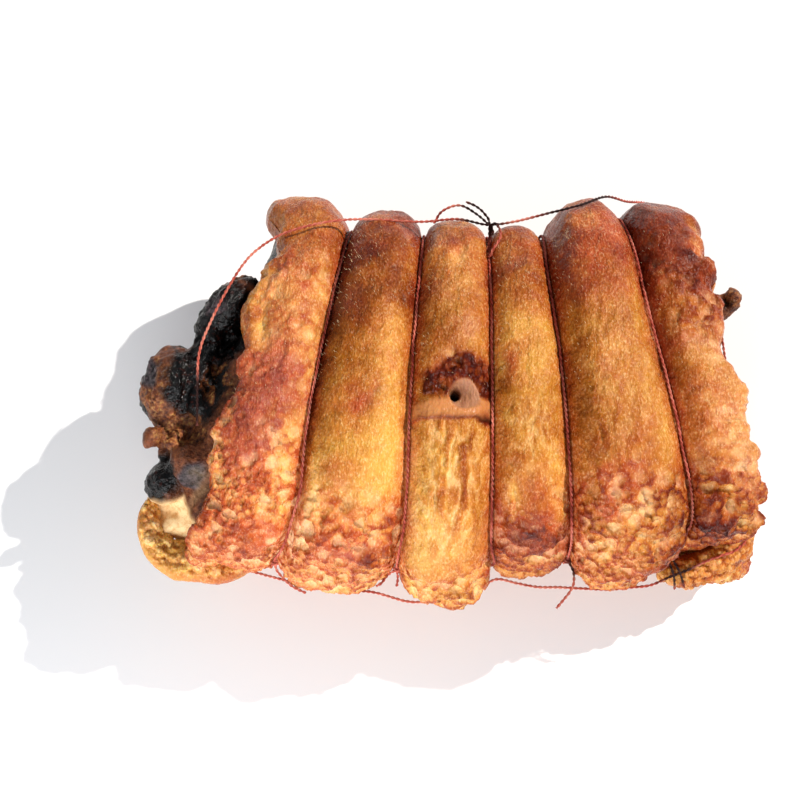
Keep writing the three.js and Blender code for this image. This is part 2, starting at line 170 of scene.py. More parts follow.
# From 0, smooth, to 1, covered in blisters.
BLISTERS = (
    (.90, .90, .80, .75, .60, .46, .46, .44, .30, .15, .10, .10, .30, .80),
    (.90, .90, .80, .60, .12, .10, .08, .08, .08, .08, .08, .10, .30, .80),
    (.90, .90, .45, .15, .12, .12, .15, .12, .10, .08, .08, .10, .30, .80),
    (.70, .70, .60, .45, .25, .15, .08, .08, .08, .08, .08, .10, .30, .70),
    (.95, .95, .90, .70, .20, .10, .08, .10, .12, .10, .08, .10, .30, .90),
    (.95, .95, .90, .65, .35, .30, .45, .55, .40, .25, .15, .10, .30, .95),
)
# Single places, by lobe: field, amount, share, angle, reach in share, reach in degrees.
# "push" is a height in millimetres, and the others add to a field from 0 to 1.
SPOTS = (
    (   # The left end lobe: dimples and blisters along its free edge, a smooth patch low down.
        ("push", -2.6, .28, 113, .06, 2.6), ("bruise", .9, .28, 113, .09, 3.2),
        ("push", 1.8, .24, 106, .13, 5), ("brown", -.18, .24, 106, .14, 6),
        ("push", -2.4, .14, 102, .06, 3), ("brown", .30, .14, 102, .08, 3),
        ("push", 2.2, .25, 97.5, .09, 3), ("brown", -.25, .22, 98, .10, 3.5), ("red", -.5, .22, 98, .12, 4),
        ("push", 1.4, .50, 93, .10, 3), ("brown", -.08, .55, 92, .16, 4), ("red", .5, .40, 90, .4, 8),
        # The wide purple-grey wash is partly the skin's own mauve and partly painted sheen.
        ("red", .3, .5, 112, .5, 12), ("bruise", .9, .50, 84, .45, 16), ("bruise", .45, .50, 69, .22, 5),
        ("bruise", .3, .40, 120, .3, 6), ("brown", -.24, .12, 64, .10, 12), ("red", -.45, .12, 64, .12, 12),
        ("blister", .5, .12, 62, .13, 16), ("push", 2.0, .12, 58, .10, 4), ("push", 1.8, .12, 69, .09, 4),
        ("blister", .5, .60, 52, .30, 10), ("brown", -.15, .78, 60, .14, 16),
        ("red", -.35, .85, 60, .14, 22),
        ("brown", -.12, .95, 85, .25, 30), ("red", -.35, .98, 85, .22, 30),
        ("smooth", .9, .88, 28, .26, 8), ("brown", .02, .88, 28, .22, 8), ("push", -1.6, .84, 29, .26, 7),
        ("red", .2, .6, 24, .3, 10), ("bruise", .4, .70, 12, .20, 5), ("push", 2.0, .35, 3, .3, 6),
    ),
    (   # The second lobe: a bruise and painted sheen on top, heaped blisters and red clefts at its toe.
        ("bruise", .8, .68, 84, .10, 3), ("red", .6, .52, 83, .20, 4), ("brown", .06, .50, 84, .22, 5),
        ("push", .9, .66, 84, .05, 2), ("push", .8, .76, 82, .05, 2), ("push", .8, .58, 82, .04, 2),
        ("shine", .8, .66, 84, .12, 4),
        ("bruise", .35, .20, 108, .16, 5), ("brown", .12, .28, 100, .30, 8), ("bruise", .3, .35, 140, .3, 7),
        ("brown", -.14, .72, 95, .20, 14), ("brown", -.14, .85, 72, .22, 16), ("red", -.3, .80, 72, .25, 20),
        ("brown", -.30, .12, 45, .10, 22), ("red", -.20, .10, 45, .12, 22),
        ("push", 2.6, .40, 51, .10, 4), ("push", 2.6, .70, 37, .12, 5), ("push", -2.4, .30, 35, .10, 6),
        ("push", 1.8, .56, 44, .07, 3), ("push", 2.0, .24, 46, .07, 4), ("push", -1.8, .52, 38, .06, 3),
        ("red", .5, .32, 34, .22, 9), ("brown", .16, .34, 33, .20, 8), ("bruise", .85, .60, 31, .16, 4.5),
        ("push", 2.4, .45, 14, .25, 6), ("brown", -.12, .70, 37, .12, 6), ("brown", .14, .85, 45, .1, 8),
        ("brown", .20, .74, 26, .14, 7), ("brown", .3, .03, 110, .1, 40), ("brown", .2, .03, 70, .05, 20),
    ),
    (   # The third lobe: long wrinkles in front of its hole, a bubbled toe.
        ("wrinkle", 1.0, .55, 66, .34, 13), ("wrinkle", .45, .50, 45, .4, 12),
        ("wrinkle", .25, .5, 110, .4, 20),
        # Next to the hole, a purple-grey glossy patch is painted sheen.
        ("bruise", .9, .71, 100, .10, 4), ("brown", -.16, .71, 100, .12, 5), ("shine", .8, .71, 100, .14, 6),
        ("push", 1.6, .47, 91.5, .06, 2), ("pale", .9, .47, 91.5, .06, 1.8),
        ("bruise", .75, .40, 140, .34, 6), ("push", 1.8, .55, 130, .08, 6),
        ("brown", -.22, .58, 130, .14, 6),
        ("brown", .10, .85, 38, .2, 16), ("brown", .12, .80, 70, .15, 16), ("brown", -.1, .2, 40, .2, 25),
        ("push", 3.0, .35, 12, .30, 6), ("push", 2.2, .62, 20, .14, 6), ("push", -2.2, .52, 14, .06, 5),
        ("push", -3.5, .80, 0, .16, 9), ("push", 1.5, .42, -4, .14, 6),
        ("red", .6, .50, 15, .10, 6), ("brown", .20, .50, 15, .08, 6), ("brown", .2, .70, 8, .2, 4),
        ("brown", .12, .30, 100, .3, 10),
    ),
    (   # The fourth lobe, the narrow one: a row of blisters on its left, dark skin low down.
        ("wrinkle", .6, .55, 70, .4, 14), ("bruise", .5, .44, 125, .24, 4), ("brown", .1, .4, 125, .3, 5),
        ("red", .8, .26, 90, .14, 4), ("brown", .10, .26, 90, .12, 3), ("brown", .24, .16, 85, .12, 3),
        ("push", 2.6, .28, 46, .08, 6), ("brown", -.30, .28, 46, .09, 7), ("red", -.5, .28, 46, .1, 7),
        ("push", 1.6, .36, 36, .07, 3), ("push", 2.2, .74, 33, .10, 2.6), ("brown", -.24, .74, 33, .10, 2.8),
        ("push", 2.4, .84, 18, .09, 4), ("brown", -.26, .84, 18, .09, 4), ("push", 1.8, .55, 12, .14, 4),
        ("red", .5, .5, 27, .3, 10), ("brown", .12, .45, 28, .24, 9), ("shine", .6, .46, 30, .2, 8),
        ("brown", -.14, .80, 50, .14, 12), ("red", -.3, .80, 50, .16, 14), ("shine", .5, .5, 85, .3, 15),
        ("brown", -.08, .5, 92, .3, 10),
    ),
    (   # The fifth lobe, the widest: smooth above and a crowd of blisters below, with pale tops.
        ("brown", -.16, .55, 134, .22, 7), ("brown", .10, .18, 126, .14, 12),
        ("bruise", .35, .45, 150, .4, 6), ("red", .3, .5, 124, .4, 8),
        ("pale", .9, .53, 48, .05, 3), ("pale", .9, .59, 53, .04, 2.4), ("pale", .8, .78, 46, .04, 2.6),
        ("push", 2.2, .53, 48, .06, 3.4), ("push", 1.8, .59, 53.5, .05, 2.6),
        ("push", 1.8, .78, 46, .05, 2.6),
        ("push", -1.6, .66, 46, .05, 3), ("push", -1.4, .70, 54, .06, 3), ("blister", .35, .65, 50, .3, 9),
        ("red", .6, .30, 52, .12, 7), ("brown", -.10, .28, 54, .16, 8), ("red", .5, .42, 62, .16, 5),
        ("brown", .12, .84, 34, .12, 14), ("red", .5, .68, 12, .20, 5), ("brown", .10, .72, 14, .2, 8),
        ("push", 2.5, .26, 20, .20, 12), ("brown", -.14, .30, 22, .22, 16), ("brown", .14, .14, 90, .14, 30),
        ("brown", -.08, .55, 88, .2, 14), ("brown", -.1, .86, 80, .12, 20), ("shine", .5, .5, 70, .3, 12),
        ("wrinkle", .3, .4, 82, .4, 20), ("red", .12, .55, 80, .3, 22),
    ),
    (   # The right end lobe: dark lumps at the back, a glossy blistered patch, ripples, torn knobs below.
        ("red", .6, .45, 130, .5, 12), ("brown", -.20, .93, 134, .08, 10), ("red", -.5, .95, 134, .08, 10),
        ("brown", .20, .60, 123, .4, 7), ("shine", 1.0, .5, 128, .5, 12), ("push", 2.4, .86, 125, .11, 4),
        ("brown", -.30, .86, 125, .10, 3.6), ("push", 2.0, .90, 139, .12, 5),
        ("brown", .14, .64, 112, .24, 5), ("push", 1.8, .93, 112, .08, 4), ("push", 1.6, .94, 104, .07, 3.4),
        ("push", -1.6, .90, 118, .08, 2.6), ("brown", -.04, .62, 102, .30, 7),
        ("red", -.05, .62, 102, .34, 8), ("shine", 1.0, .70, 102, .26, 7),
        ("blister", .22, .66, 101, .3, 8), ("ripple", 1.0, .62, 101, .3, 8),
        ("red", .5, .80, 113, .2, 4), ("brown", -.1, .75, 70, .3, 16), ("ripple", 2.4, .78, 68, .32, 26),
        ("pale", .25, .80, 66, .26, 22), ("shine", .5, .8, 68, .3, 22), ("ripple", .5, .60, 84, .3, 20),
        ("brown", .12, .20, 70, .16, 40),
        ("push", -5.0, .20, 29, .13, 8), ("brown", .26, .20, 27, .14, 10), ("red", .4, .20, 27, .16, 10),
        ("push", 3.6, .46, 39, .09, 5), ("push", 3.2, .30, 44, .10, 4), ("push", 4.2, .66, 3, .13, 8),
        ("push", 3.0, .97, 32, .10, 6), ("push", -3.4, .42, 24, .08, 5), ("brown", .2, .42, 24, .1, 5),
        ("red", .3, .72, 44, .14, 8), ("bruise", .25, .66, 48, .12, 5), ("push", -2.0, .80, 30, .07, 4),
    ),
)
# Round the hole: a smooth sunk band across the lobe, and a burnt crust in an arch behind the hole.
BAND = {"from": -10.5, "to": -1.5, "sink": 1.5}
CRUST = {"radius": 14.5, "width": 4.6, "rise": 1.3}
FUNNEL_HALVINGS = 12

# Two rolls of puffed skin along the lower leaf: their middle line, half widths, half heights, and how the
# roll browned from its first end to its last.
CORNER_ROLL = {
    "path": (
        (-91, -74, 55), (-99, -79, 54), (-110, -81.5, 54), (-125, -80, 55), (-137.5, -74, 57),
        (-143.5, -62, 60), (-142, -48, 64),
    ),
    "width": (5, 8, 9.5, 10.5, 9, 6, 4),
    "height": (6, 8.5, 9, 9, 9, 9, 7),
    "brown": (0.28, 0.16),
    "red": (0.45, 0.12),
}
FLAP_ROLL = {
    "path": ((96, -79, 48), (104, -81, 48), (114, -80, 48), (125, -75, 50), (134, -66, 52), (138, -55, 55)),
    "width": (3.5, 8, 9.5, 9.5, 8.5, 5),
    "height": (5, 8.5, 9, 9, 9, 8),
    "brown": (0.46, 0.42),
    "red": (0.4, 0.5),
}
ROLL_TAPER_POWER = 6

# ---------------------------------------------------------------- colour

def from_hex(code):
    """A colour's linear values from its sRGB hex code."""
    parts = [int(code[i:i + 2], 16) / 255 for i in (1, 3, 5)]
    return tuple(p / 12.92 if p <= 0.04045 else ((p + 0.055) / 1.055) ** 2.4 for p in parts) + (1.0,)


# How far apart the large and small blisters of the lobes are.
LARGE_BLISTER, SMALL_BLISTER = 6.6, 3.6

# ---------------------------------------------------------------- noise

def hashed(cell, seed):
    """A number from 0 to 1 for each whole-number cell, the same on every run."""
    mask = 0xFFFFFFFF
    mixed = (cell[0] * 374761393 + cell[1] * 668265263 + cell[2] * 1440662683 + seed * 974634777) & mask
    mixed = ((mixed ^ (mixed >> 13)) * 1274126177) & mask
    return (mixed ^ (mixed >> 16)) / mask


def noise(points, size, seed):
    """Smooth noise from -1 to 1, with lumps about as large as size."""
    sizes = np.reshape(size, (-1,) + (1,) * (np.ndim(points) - 1))
    place = np.moveaxis(np.asarray(points, float), -1, 0) / sizes
    cell = np.floor(place).astype(np.int64)
    part = place - cell
    part = part * part * (3 - 2 * part)
    total = 0.0
    for corner in np.ndindex(2, 2, 2):
        weight = 1.0
        for axis in range(3):
            weight = weight * (part[axis] if corner[axis] else 1 - part[axis])
        total = total + weight * hashed([cell[axis] + corner[axis] for axis in range(3)], seed)
    return 2 * total - 1


def rough(points, size, seed, octaves=3):
    """Noise with finer noise on it."""
    total = sum(noise(points, np.asarray(size, float) / 2 ** k, seed + k) / 2 ** k for k in range(octaves))
    return total / (2 - 2.0 ** (1 - octaves))


# A dome's radius as a share of the distance between domes, how full it is, how low the lowest is, and how
# much higher the highest.
DOME_RADIUS, DOME_POWER = 0.68, 0.8
LOWEST_DOME, DOME_RANGE = 0.55, 0.45


def bubbles(points, size, seed):
    """Round domes from 0 to 1, packed about size apart, and a random number for each dome."""
    place = np.moveaxis(np.asarray(points, float), -1, 0) / size
    cell = np.floor(place).astype(np.int64)
    nearest = np.full(place.shape[1:], 9.0)
    own_number = np.zeros(place.shape[1:])
    for offset in np.ndindex(3, 3, 3):
        other = [cell[axis] + offset[axis] - 1 for axis in range(3)]
        away = sum((place[axis] - other[axis] - hashed(other, seed + axis)) ** 2 for axis in range(3))
        closer = away < nearest
        nearest = np.where(closer, away, nearest)
        own_number = np.where(closer, hashed(other, seed + 3), own_number)
    domes = np.clip(1 - nearest / DOME_RADIUS ** 2, 0, 1) ** DOME_POWER
    return domes * (LOWEST_DOME + DOME_RANGE * own_number), own_number


def smoothstep(value, low, high):
    """A smooth rise from 0 at low to 1 at high."""
    share = np.clip((value - low) / (high - low), 0, 1)
    return share * share * (3 - 2 * share)


# ---------------------------------------------------------------- the skin's shape

def wavy_line(angle, place, waves):
    """A place along the roll with its waves added, at each angle."""
    length = np.full(np.shape(angle), place, float)
    for out, at, reach in waves:
        apart = (angle - at + 180) % 360 - 180
        length = length + out * np.exp(-((apart / reach) ** 2))
    return length


def line_at(number, angle):
    """The length along the roll of an end edge or a tie, at each angle."""
    if number == 0:
        return wavy_line(angle, LEFT_END, LEFT_WAVES)
    if number == LOBES:
        return wavy_line(angle, RIGHT_END, RIGHT_WAVES)
    return wavy_line(angle, TIE_PLACES[number - 1], TIE_WAVES[number - 1])


def length_at(lobe, share, angle):
    """The length along the roll at a share of a lobe's width."""
    return line_at(lobe, angle) * (1 - share) + line_at(lobe + 1, angle) * share


def arch(across, shape):
    """The height, from 0 to 1, of a swelling at -1 to 1 across it."""
    spread, fullness = shape
    return (1 - np.minimum(np.abs(across), 1) ** spread) ** fullness


def puff_share(lobe, share, shape):
    """How far a lobe has puffed out, from 0 to 1: an arch between two ties, half of one at a free end."""
    if 0 < lobe < LOBES - 1:
        return arch((2 * share - 1) / (1 - 2 * GROOVE_FLAT), shape)
    from_tie = np.maximum(1 - share if lobe == 0 else share, GROOVE_FLAT) - GROOVE_FLAT
    drop = FREE_END_DROP * smoothstep(from_tie, DROP_FROM, 1)
    return arch(1 - np.minimum(FREE_END_RISE * from_tie, 1), shape) - drop


def outer_half(side, lobe, share):
    """Half the roll's width or height on one side, to the outside of the skin."""
    groove = GROOVE[side][lobe] * (1 - share) + GROOVE[side][lobe + 1] * share
    return groove + PUFF[side][lobe] * puff_share(lobe, share, ARCH[side])


def inner_half(side, lobe, share):
    """The same as outer_half, to the inside of the skin."""
    def at_line(line):
        if line in (0, LOBES):
            return outer_half(side, lobe, 0.0 if line == 0 else 1.0) - END_SKIN_DEPTH
        return GROOVE[side][line] - SKIN_DEPTH
    return at_line(lobe) * (1 - share) + at_line(lobe + 1) * share


def oval_share(value):
    """A cosine or sine turned into a share of an oval's half width that is squarer than an ellipse."""
    return np.sign(value) * np.abs(value) ** (2 / OVAL_POWER)


def oval_point(half, lobe, share, angle):
    """A point of the roll's section, from a function that gives its half widths."""
    cos, sin = np.cos(np.radians(angle)), np.sin(np.radians(angle))
    front, lower, back, top, under = (half(side, lobe, share) for side in GROOVE)
    y = -np.where(cos > 0, np.where(angle < 180, front, lower), back) * oval_share(cos)
    z = np.maximum(MIDDLE_HEIGHT + np.where(sin >= 0, top, under) * oval_share(sin), 0)
    x = FAN_X + (length_at(lobe, share, angle) - FAN_X) * (1 - y / FAN_Y)
    return np.stack(np.broadcast_arrays(x, y, z), -1)


def rim_share(distance, rim):
    """The share of the full thickness at a distance from a rounded edge."""
    return (1 - (1 - np.clip(distance / rim, 0, 1)) ** RIM_POWER) ** (1 / RIM_POWER)


def sheet_point(lobe, share, angle, is_outer):
    """A point on the outside or inside of the sheet, whose edges are rounded."""
    outer = oval_point(outer_half, lobe, share, angle)
    inner = oval_point(inner_half, lobe, share, angle)
    one_degree = math.radians(GROOVE["front"][3])
    from_seam = np.minimum(angle - SEAM_UPPER_EDGE, SEAM_LOWER_EDGE - angle) * one_degree
    length = length_at(lobe, share, angle)
    from_end = np.minimum(length - line_at(0, angle), line_at(LOBES, angle) - length)
    full = (rim_share(from_seam, SEAM_RIM) * rim_share(from_end, END_RIM))[..., None]
    middle = (outer + inner) / 2
    return middle + ((outer if is_outer else inner) - middle) * full


def spaced(make_points, low, high, step_at, multiple=1):
    """Values from low to high, spaced so that the points they make are step_at(value) apart."""
    values = np.linspace(low, high, 4001)
    points = make_points(values)
    lengths = np.linalg.norm(np.diff(points, axis=0), axis=-1)
    counts = np.concatenate([[0], np.cumsum(lengths / step_at((values[1:] + values[:-1]) / 2))])
    total = multiple * math.ceil(counts[-1] / multiple)
    return np.interp(np.linspace(0, counts[-1], total + 1), counts, values)


def grid_normals(points):
    """Outward unit normals of a grid of points, whose first axis runs along the roll."""
    across = np.cross(np.gradient(points, axis=1), np.gradient(points, axis=0))
    return across / np.maximum(np.linalg.norm(across, axis=-1, keepdims=True), 1e-9)


def skin_fields(lobe, share, angle, points):
    """Every field of the skin at these places, by name."""
    angle = np.broadcast_to(angle, points.shape[:-1])
    share = np.broadcast_to(share, points.shape[:-1])
    drift = 7 * noise(points, 17, 11)
    toned = angle + drift * (angle < 200)
    fields = {
        "brown": np.interp(toned, TONE_ANGLES, BROWNING[lobe]),
        "red": np.interp(toned, TONE_ANGLES, REDNESS[lobe]),
        "blister": np.interp(toned, TONE_ANGLES, BLISTERS[lobe]),
    }
    for name in ("bruise", "push", "wrinkle", "ripple", "shine", "pale", "smooth", "char"):
        fields[name] = np.zeros(points.shape[:-1])
    wobble = np.stack([noise(points, 5, 21), noise(points, 5, 22)])
    for name, amount, at_share, at_angle, share_reach, angle_reach in SPOTS[lobe]:
        in_share = (share - at_share) / share_reach + 0.35 * wobble[0]
        in_angle = (angle - at_angle) / angle_reach + 0.35 * wobble[1]
        fields[name] = fields[name] + amount * np.exp(-(in_share ** 2 + in_angle ** 2))
    return fields


def hole_fields(points, fields):
    """Adds what surrounds the hole to its lobe's fields, and says how far each point is pushed down."""
    across, along = points[..., 0] - HOLE["x"], points[..., 1] - HOLE["y"]
    is_top = points[..., 2] > MIDDLE_HEIGHT
    away = np.hypot(across, along) + 0.5 * noise(points, 5, 30)
    ragged = 1.6 * noise(points, 4, 31)
    wavy = along + 0.4 * ragged
    band = smoothstep(wavy, BAND["from"] - 1, BAND["from"] + 1.5)
    band = band * (1 - smoothstep(wavy + 0.16 * np.abs(across), BAND["to"], BAND["to"] + 3)) * is_top
    crust = np.exp(-(((away - CRUST["radius"] + ragged) / CRUST["width"]) ** 2))
    crust = crust * smoothstep(along, -3, 2) * is_top
    ring = np.exp(-(((away - HOLE["mouth"] - 1.5 + 0.5 * ragged) / 2.4) ** 2)) * is_top
    seam = np.exp(-(((along - BAND["from"] + 0.5 * ragged) / 0.9) ** 2))
    seam = seam * is_top * smoothstep(-across, -16, -12)
    corner = np.exp(-(((across - 10) / 4) ** 2 + ((along + 10) / 3) ** 2)) * is_top
    burnt = np.clip(crust + 0.6 * ring * smoothstep(along, -6, 3) + 0.9 * corner, 0, 1)
    fields["brown"] = fields["brown"] * (1 - burnt) + 0.82 * burnt + 0.30 * seam - 0.02 * band
    fields["red"] = fields["red"] * (1 - burnt) + burnt + 0.7 * seam + 0.05 * band
    fields["burnt"] = burnt
    fields["band"] = np.clip(band * (1 - burnt), 0, 1)
    fields["blister"] = np.clip(fields["blister"] * (1 - band) + 0.9 * burnt, 0, 1)
    fields["smooth"] = np.clip(fields["smooth"] + band * (1 - burnt), 0, 1)
    fields["shine"] = fields["shine"] + burnt + 0.5 * band
    fields["push"] = fields["push"] + CRUST["rise"] * burnt - BAND["sink"] * band - 1.3 * seam
    # How far down the funnel: 0 at the mouth, 1 at the opening, found as the circle through each point.
    low, high = np.zeros(away.shape), np.ones(away.shape)
    for _ in range(FUNNEL_HALVINGS):
        down = (low + high) / 2
        radius = HOLE["mouth"] + (HOLE["opening"] - HOLE["mouth"]) * down
        inside = np.hypot(across + HOLE["aside"] * down, along) < radius
        low, high = np.where(inside, down, low), np.where(inside, high, down)
    from_opening = np.hypot(across + HOLE["aside"], along)
    in_opening = 1 - smoothstep(from_opening, HOLE["opening"] - 0.9, HOLE["opening"])
    fields["wall"] = (1 - smoothstep(away, HOLE["mouth"] - 0.8, HOLE["mouth"] + 0.6)) * is_top
    # The narrow opening is painted black as painted shade down the shaft.
    fields["char"] = (1 - smoothstep(from_opening, HOLE["opening"] - 1, HOLE["opening"] + 1)) * is_top
    return (HOLE["funnel"] * low + (HOLE["depth"] - HOLE["funnel"]) * in_opening) * is_top


def domes_of(large, own_number, small, large_share, small_share):
    """Blisters of two sizes together: only some of the large ones, with small ones between."""
    return np.maximum(large_share * large * smoothstep(own_number, 0.3, 0.5), small_share * small)


def between_blisters(beads):
    """From 0, on a blister, to 1, in the cleft where blisters meet."""
    return smoothstep(-beads, -0.42, -0.12)


def relief(lobe, share, points, arc, fields, sizes):
    """The height in millimetres of the skin's lumps, blisters, wrinkles and grain at each point."""
    blister = np.clip(fields["blister"] + 0.25 * rough(points, 11, 41), 0, 1)
    warped = points + 1.2 * np.stack([noise(points, 4, s) for s in (51, 52, 53)], -1)
    beads = domes_of(*bubbles(warped, LARGE_BLISTER, 61), bubbles(points, SMALL_BLISTER, 71)[0], 1.35, 0.75)
    bubbled = smoothstep(blister, 0.28, 0.75)
    blisters = sizes.blister_height / MM * bubbled * (beads - 0.45)
    flat_points = np.stack([points[..., 0], arc + 0 * points[..., 0], 0 * points[..., 0]], -1)
    bends = np.stack([noise(points, 7, 93), noise(points, 7, 94), 0 * points[..., 0]], -1)
    ridged = 1 - 2 * np.abs(rough(flat_points + 1.6 * bends, (3.6, 12, 9), 91, 2))
    rippled = noise(flat_points + 1.5 * noise(points, 6, 95)[..., None], (6.5, 2.4, 9), 92)
    creased = sizes.wrinkle_height / MM * np.clip(fields["wrinkle"] + 0.10, 0, 1) * (ridged - 0.45)
    creased = creased + 0.75 * np.clip(fields["ripple"], 0, 1) * rippled
    waves = 1.5 * noise(points, 24, 101) + 0.9 * noise(points, 11, 102) + 0.45 * noise(points, 5, 103)
    grain = 0.30 * rough(points, 2.4, 111, 2)
    rough_share = 1 - np.clip(fields["smooth"], 0, 1)
    total = waves + (blisters + creased + grain) * rough_share + fields["push"]
    # The twine presses each side of a groove flat, with small pleats that run into it.
    from_tie = np.minimum(share if lobe else 1, 1 - share if lobe < LOBES - 1 else 1)
    free = np.clip(from_tie * 40 / 5, 0, 1)
    pleats = noise(flat_points, (30, 2.4, 9), 121) * free * (1 - free) * 1.6
    # The board presses the underside nearly flat.
    low = smoothstep(points[..., 2], 0, 6)
    # Between blisters and along the wrinkles' valleys the skin is later painted darker and redder: painted
    # shade.
    valley = np.clip(fields["wrinkle"], 0, 1) * smoothstep(-ridged, -0.45, 0.2)
    fields["cleft"] = np.maximum(bubbled * between_blisters(beads) * rough_share, valley)
    fields["bubbled"] = smoothstep(blister, 0.5, 1.0) * rough_share
    fields["grit"] = (0.65 - 0.35 * bubbled) * rough_share
    # Near the ties the skin is painted redder: the warm painted shade of the groove.
    fields["groove"] = 1 - free
    # Blister tops, wrinkle ridges and ripple crests are painted paler as painted highlight, added to the
    # pale spots.
    fields["pale"] = (
        fields["pale"]
        + 0.6 * bubbled * smoothstep(beads, 0.5, 1.0)
        + 0.7 * np.clip(fields["wrinkle"], 0, 1) * smoothstep(ridged, 0.45, 0.9)
        + 0.25 * np.clip(fields["ripple"], 0, 1) * smoothstep(rippled, 0.0, 0.6)
    ) * (1 - fields.get("burnt", 0))
    return (total * smoothstep(free, 0, 1) + pleats) * (0.35 + 0.65 * low)


def stitched(fine, coarse):
    """Triangles between a row of close vertices and a row with every so manieth of them."""
    ratio = (len(fine) - 1) // (len(coarse) - 1)
    faces = []
    for i in range(len(coarse) - 1):
        part = fine[i * ratio:(i + 1) * ratio + 1]
        half = ratio // 2
        faces += [(part[j], part[j + 1], coarse[i]) for j in range(half)]
        faces += [(part[j], part[j + 1], coarse[i + 1]) for j in range(half, ratio)]
        faces.append((coarse[i], part[half], coarse[i + 1]))
    return [face for face in faces if len(set(face)) == 3]


def grid_faces(ids):
    """Four-cornered faces between neighbours in a grid of vertex numbers."""
    corners = ids[:-1, :-1], ids[1:, :-1], ids[1:, 1:], ids[:-1, 1:]
    return np.stack(corners, -1).reshape(-1, 4).tolist()


# The inner side has one point for so many of the outer side's.
INNER_EVERY = 8
# The lobe and the angle whose girth and width set how the points are spaced.
SPACING_LOBE, SPACING_ANGLE = 2, 75.0


def make_lobe(lobe, sizes, material):
    """One lobe of the crackling: a closed piece of the sheet, cut at the middle of its grooves."""
    fine, coarse = sizes.mesh_step / MM, sizes.under_step / MM
    angles = spaced(
        lambda a: sheet_point(SPACING_LOBE, 0.5, a, True), SEAM_UPPER_EDGE, SEAM_LOWER_EDGE,
        lambda a: np.where(a < 60, 0.8 * fine, np.where(a < 140, fine, coarse)), INNER_EVERY,
    )
    shares = spaced(
        lambda s: sheet_point(lobe, s, np.full(s.shape, SPACING_ANGLE), True), 0, 1, lambda s: fine,
    )
    share, angle = shares[:, None], angles[None, :]
    outer = sheet_point(lobe, share, angle, True)
    girth = sheet_point(SPACING_LOBE, 0.5, angles, True)
    arcs = np.cumsum(np.linalg.norm(np.diff(girth, axis=0), axis=-1))
    arc = np.concatenate([[0], arcs])[None, :]
    fields = skin_fields(lobe, share, angle, outer)
    sunk = hole_fields(outer, fields) if lobe == HOLE_LOBE else 0
    normals = grid_normals(outer)
    height = relief(lobe, np.broadcast_to(share, outer.shape[:2]), outer, arc, fields, sizes)
    if lobe == HOLE_LOBE:
        height = height * (1 - fields["wall"])
    moved = outer + normals * height[..., None]
    if lobe == HOLE_LOBE:
        moved[..., 2] -= sunk
    moved[..., 2] = np.maximum(moved[..., 2], 0)
    inner_angles = angles[INNER_EVERY:-1:INNER_EVERY][None, :]
    inner = sheet_point(lobe, share, inner_angles, False)
    left_rim = rim_share(share * 12, 1) if lobe == 0 else 1
    right_rim = rim_share((1 - share) * 12, 1) if lobe == LOBES - 1 else 1
    ends = np.minimum(left_rim, right_rim)
    above = outer[:, INNER_EVERY:-1:INNER_EVERY]
    inward = (inner - above) / np.maximum(np.linalg.norm(inner - above, axis=-1, keepdims=True), 1)
    inner = inner + inward * (0.8 * rough(inner, 7, 143) * ends)[..., None]
    inner = inner + (moved[:, INNER_EVERY:-1:INNER_EVERY] - above) * (1 - ends)[..., None]
    columns, rows = outer.shape[:2]
    outer_ids = np.arange(columns * rows).reshape(columns, rows)
    inner_ids = columns * rows + np.arange(inner[..., 0].size).reshape(columns, -1)
    chain = np.concatenate([outer_ids[:, :1], inner_ids, outer_ids[:, -1:]], 1)
    faces = grid_faces(outer_ids) + grid_faces(chain[:, ::-1])
    faces += stitched(outer_ids[0].tolist(), chain[0].tolist())
    faces += [face[::-1] for face in stitched(outer_ids[-1].tolist(), chain[-1].tolist())]
    points = np.concatenate([moved.reshape(-1, 3), inner.reshape(-1, 3)])
    inside = inside_values(lobe, share, inner)
    unset = np.zeros(inner.shape[:2])
    values = {
        name: np.concatenate([value.ravel(), inside.get(name, unset).ravel()])
        for name, value in skin_values(fields, outer, angle).items()
    }
    cut = np.zeros(len(points), bool)
    cut[outer_ids[[0, -1]]] = cut[chain[[0, -1]]] = True
    name = f"crackling_lobe_{lobe + 1}"
    return make_piece(name, points, faces, values, material, "skin", cut)


def inside_values(lobe, share, points):
    """The values of the skin's inner side: pale fat that has browned towards an open end."""
    from_end = {0: share, LOBES - 1: 1 - share}.get(lobe, 1 + 0 * share)
    browned = 1 - smoothstep(from_end, 0.0, 0.45)
    return {
        "browning": 0.24 + 0.14 * rough(points, 8, 141) + 0.30 * browned,
        "redness": 0.30 + 0.35 * browned + 0.30 * noise(points, 11, 142),
        "grit": 0.7 + 0 * points[..., 0],
        "bubbled": 0.5 * browned + 0 * points[..., 0],
    }


def skin_values(fields, points, angle):
    """The values that the crackling's material reads, from the fields."""
    mottle = 0.12 * rough(points, 19, 131) + 0.05 * rough(points, 4, 132, 2)
    mottle = mottle + 0.16 * smoothstep(angle, 92, 125) * rough(points, 11, 135)
    shape = points.shape[:-1]
    zero = np.zeros(shape)
    values = {
        # Clefts are painted darker and redder as painted shade, and near the ties the skin is painted redder
        # as the warm painted shade of the groove.
        "browning": fields["brown"] + mottle + 0.20 * fields["cleft"] + 0.02 * smoothstep(angle, 95, 120),
        "redness": (fields["red"] + 1.2 * mottle + 0.30 * rough(points, 12, 133)
                    + 0.45 * fields["cleft"] + 0.6 * fields["groove"]),
        "bruise": 0.6 * fields["bruise"] * (0.75 + 0.5 * noise(points, 2.4, 134)),
        "grit": fields["grit"],
        "bubbled": fields["bubbled"],
        "pale": fields["pale"],
        "shine": fields["shine"],
        "char": fields["char"],
        "band": fields.get("band", zero),
        "wall": fields.get("wall", zero),
        "fuzz": smoothstep(angle, 78, 96) * (1 - smoothstep(angle, 132, 150)),
    }
    return {name: np.clip(np.broadcast_to(value, shape), 0, 1) for name, value in values.items()}


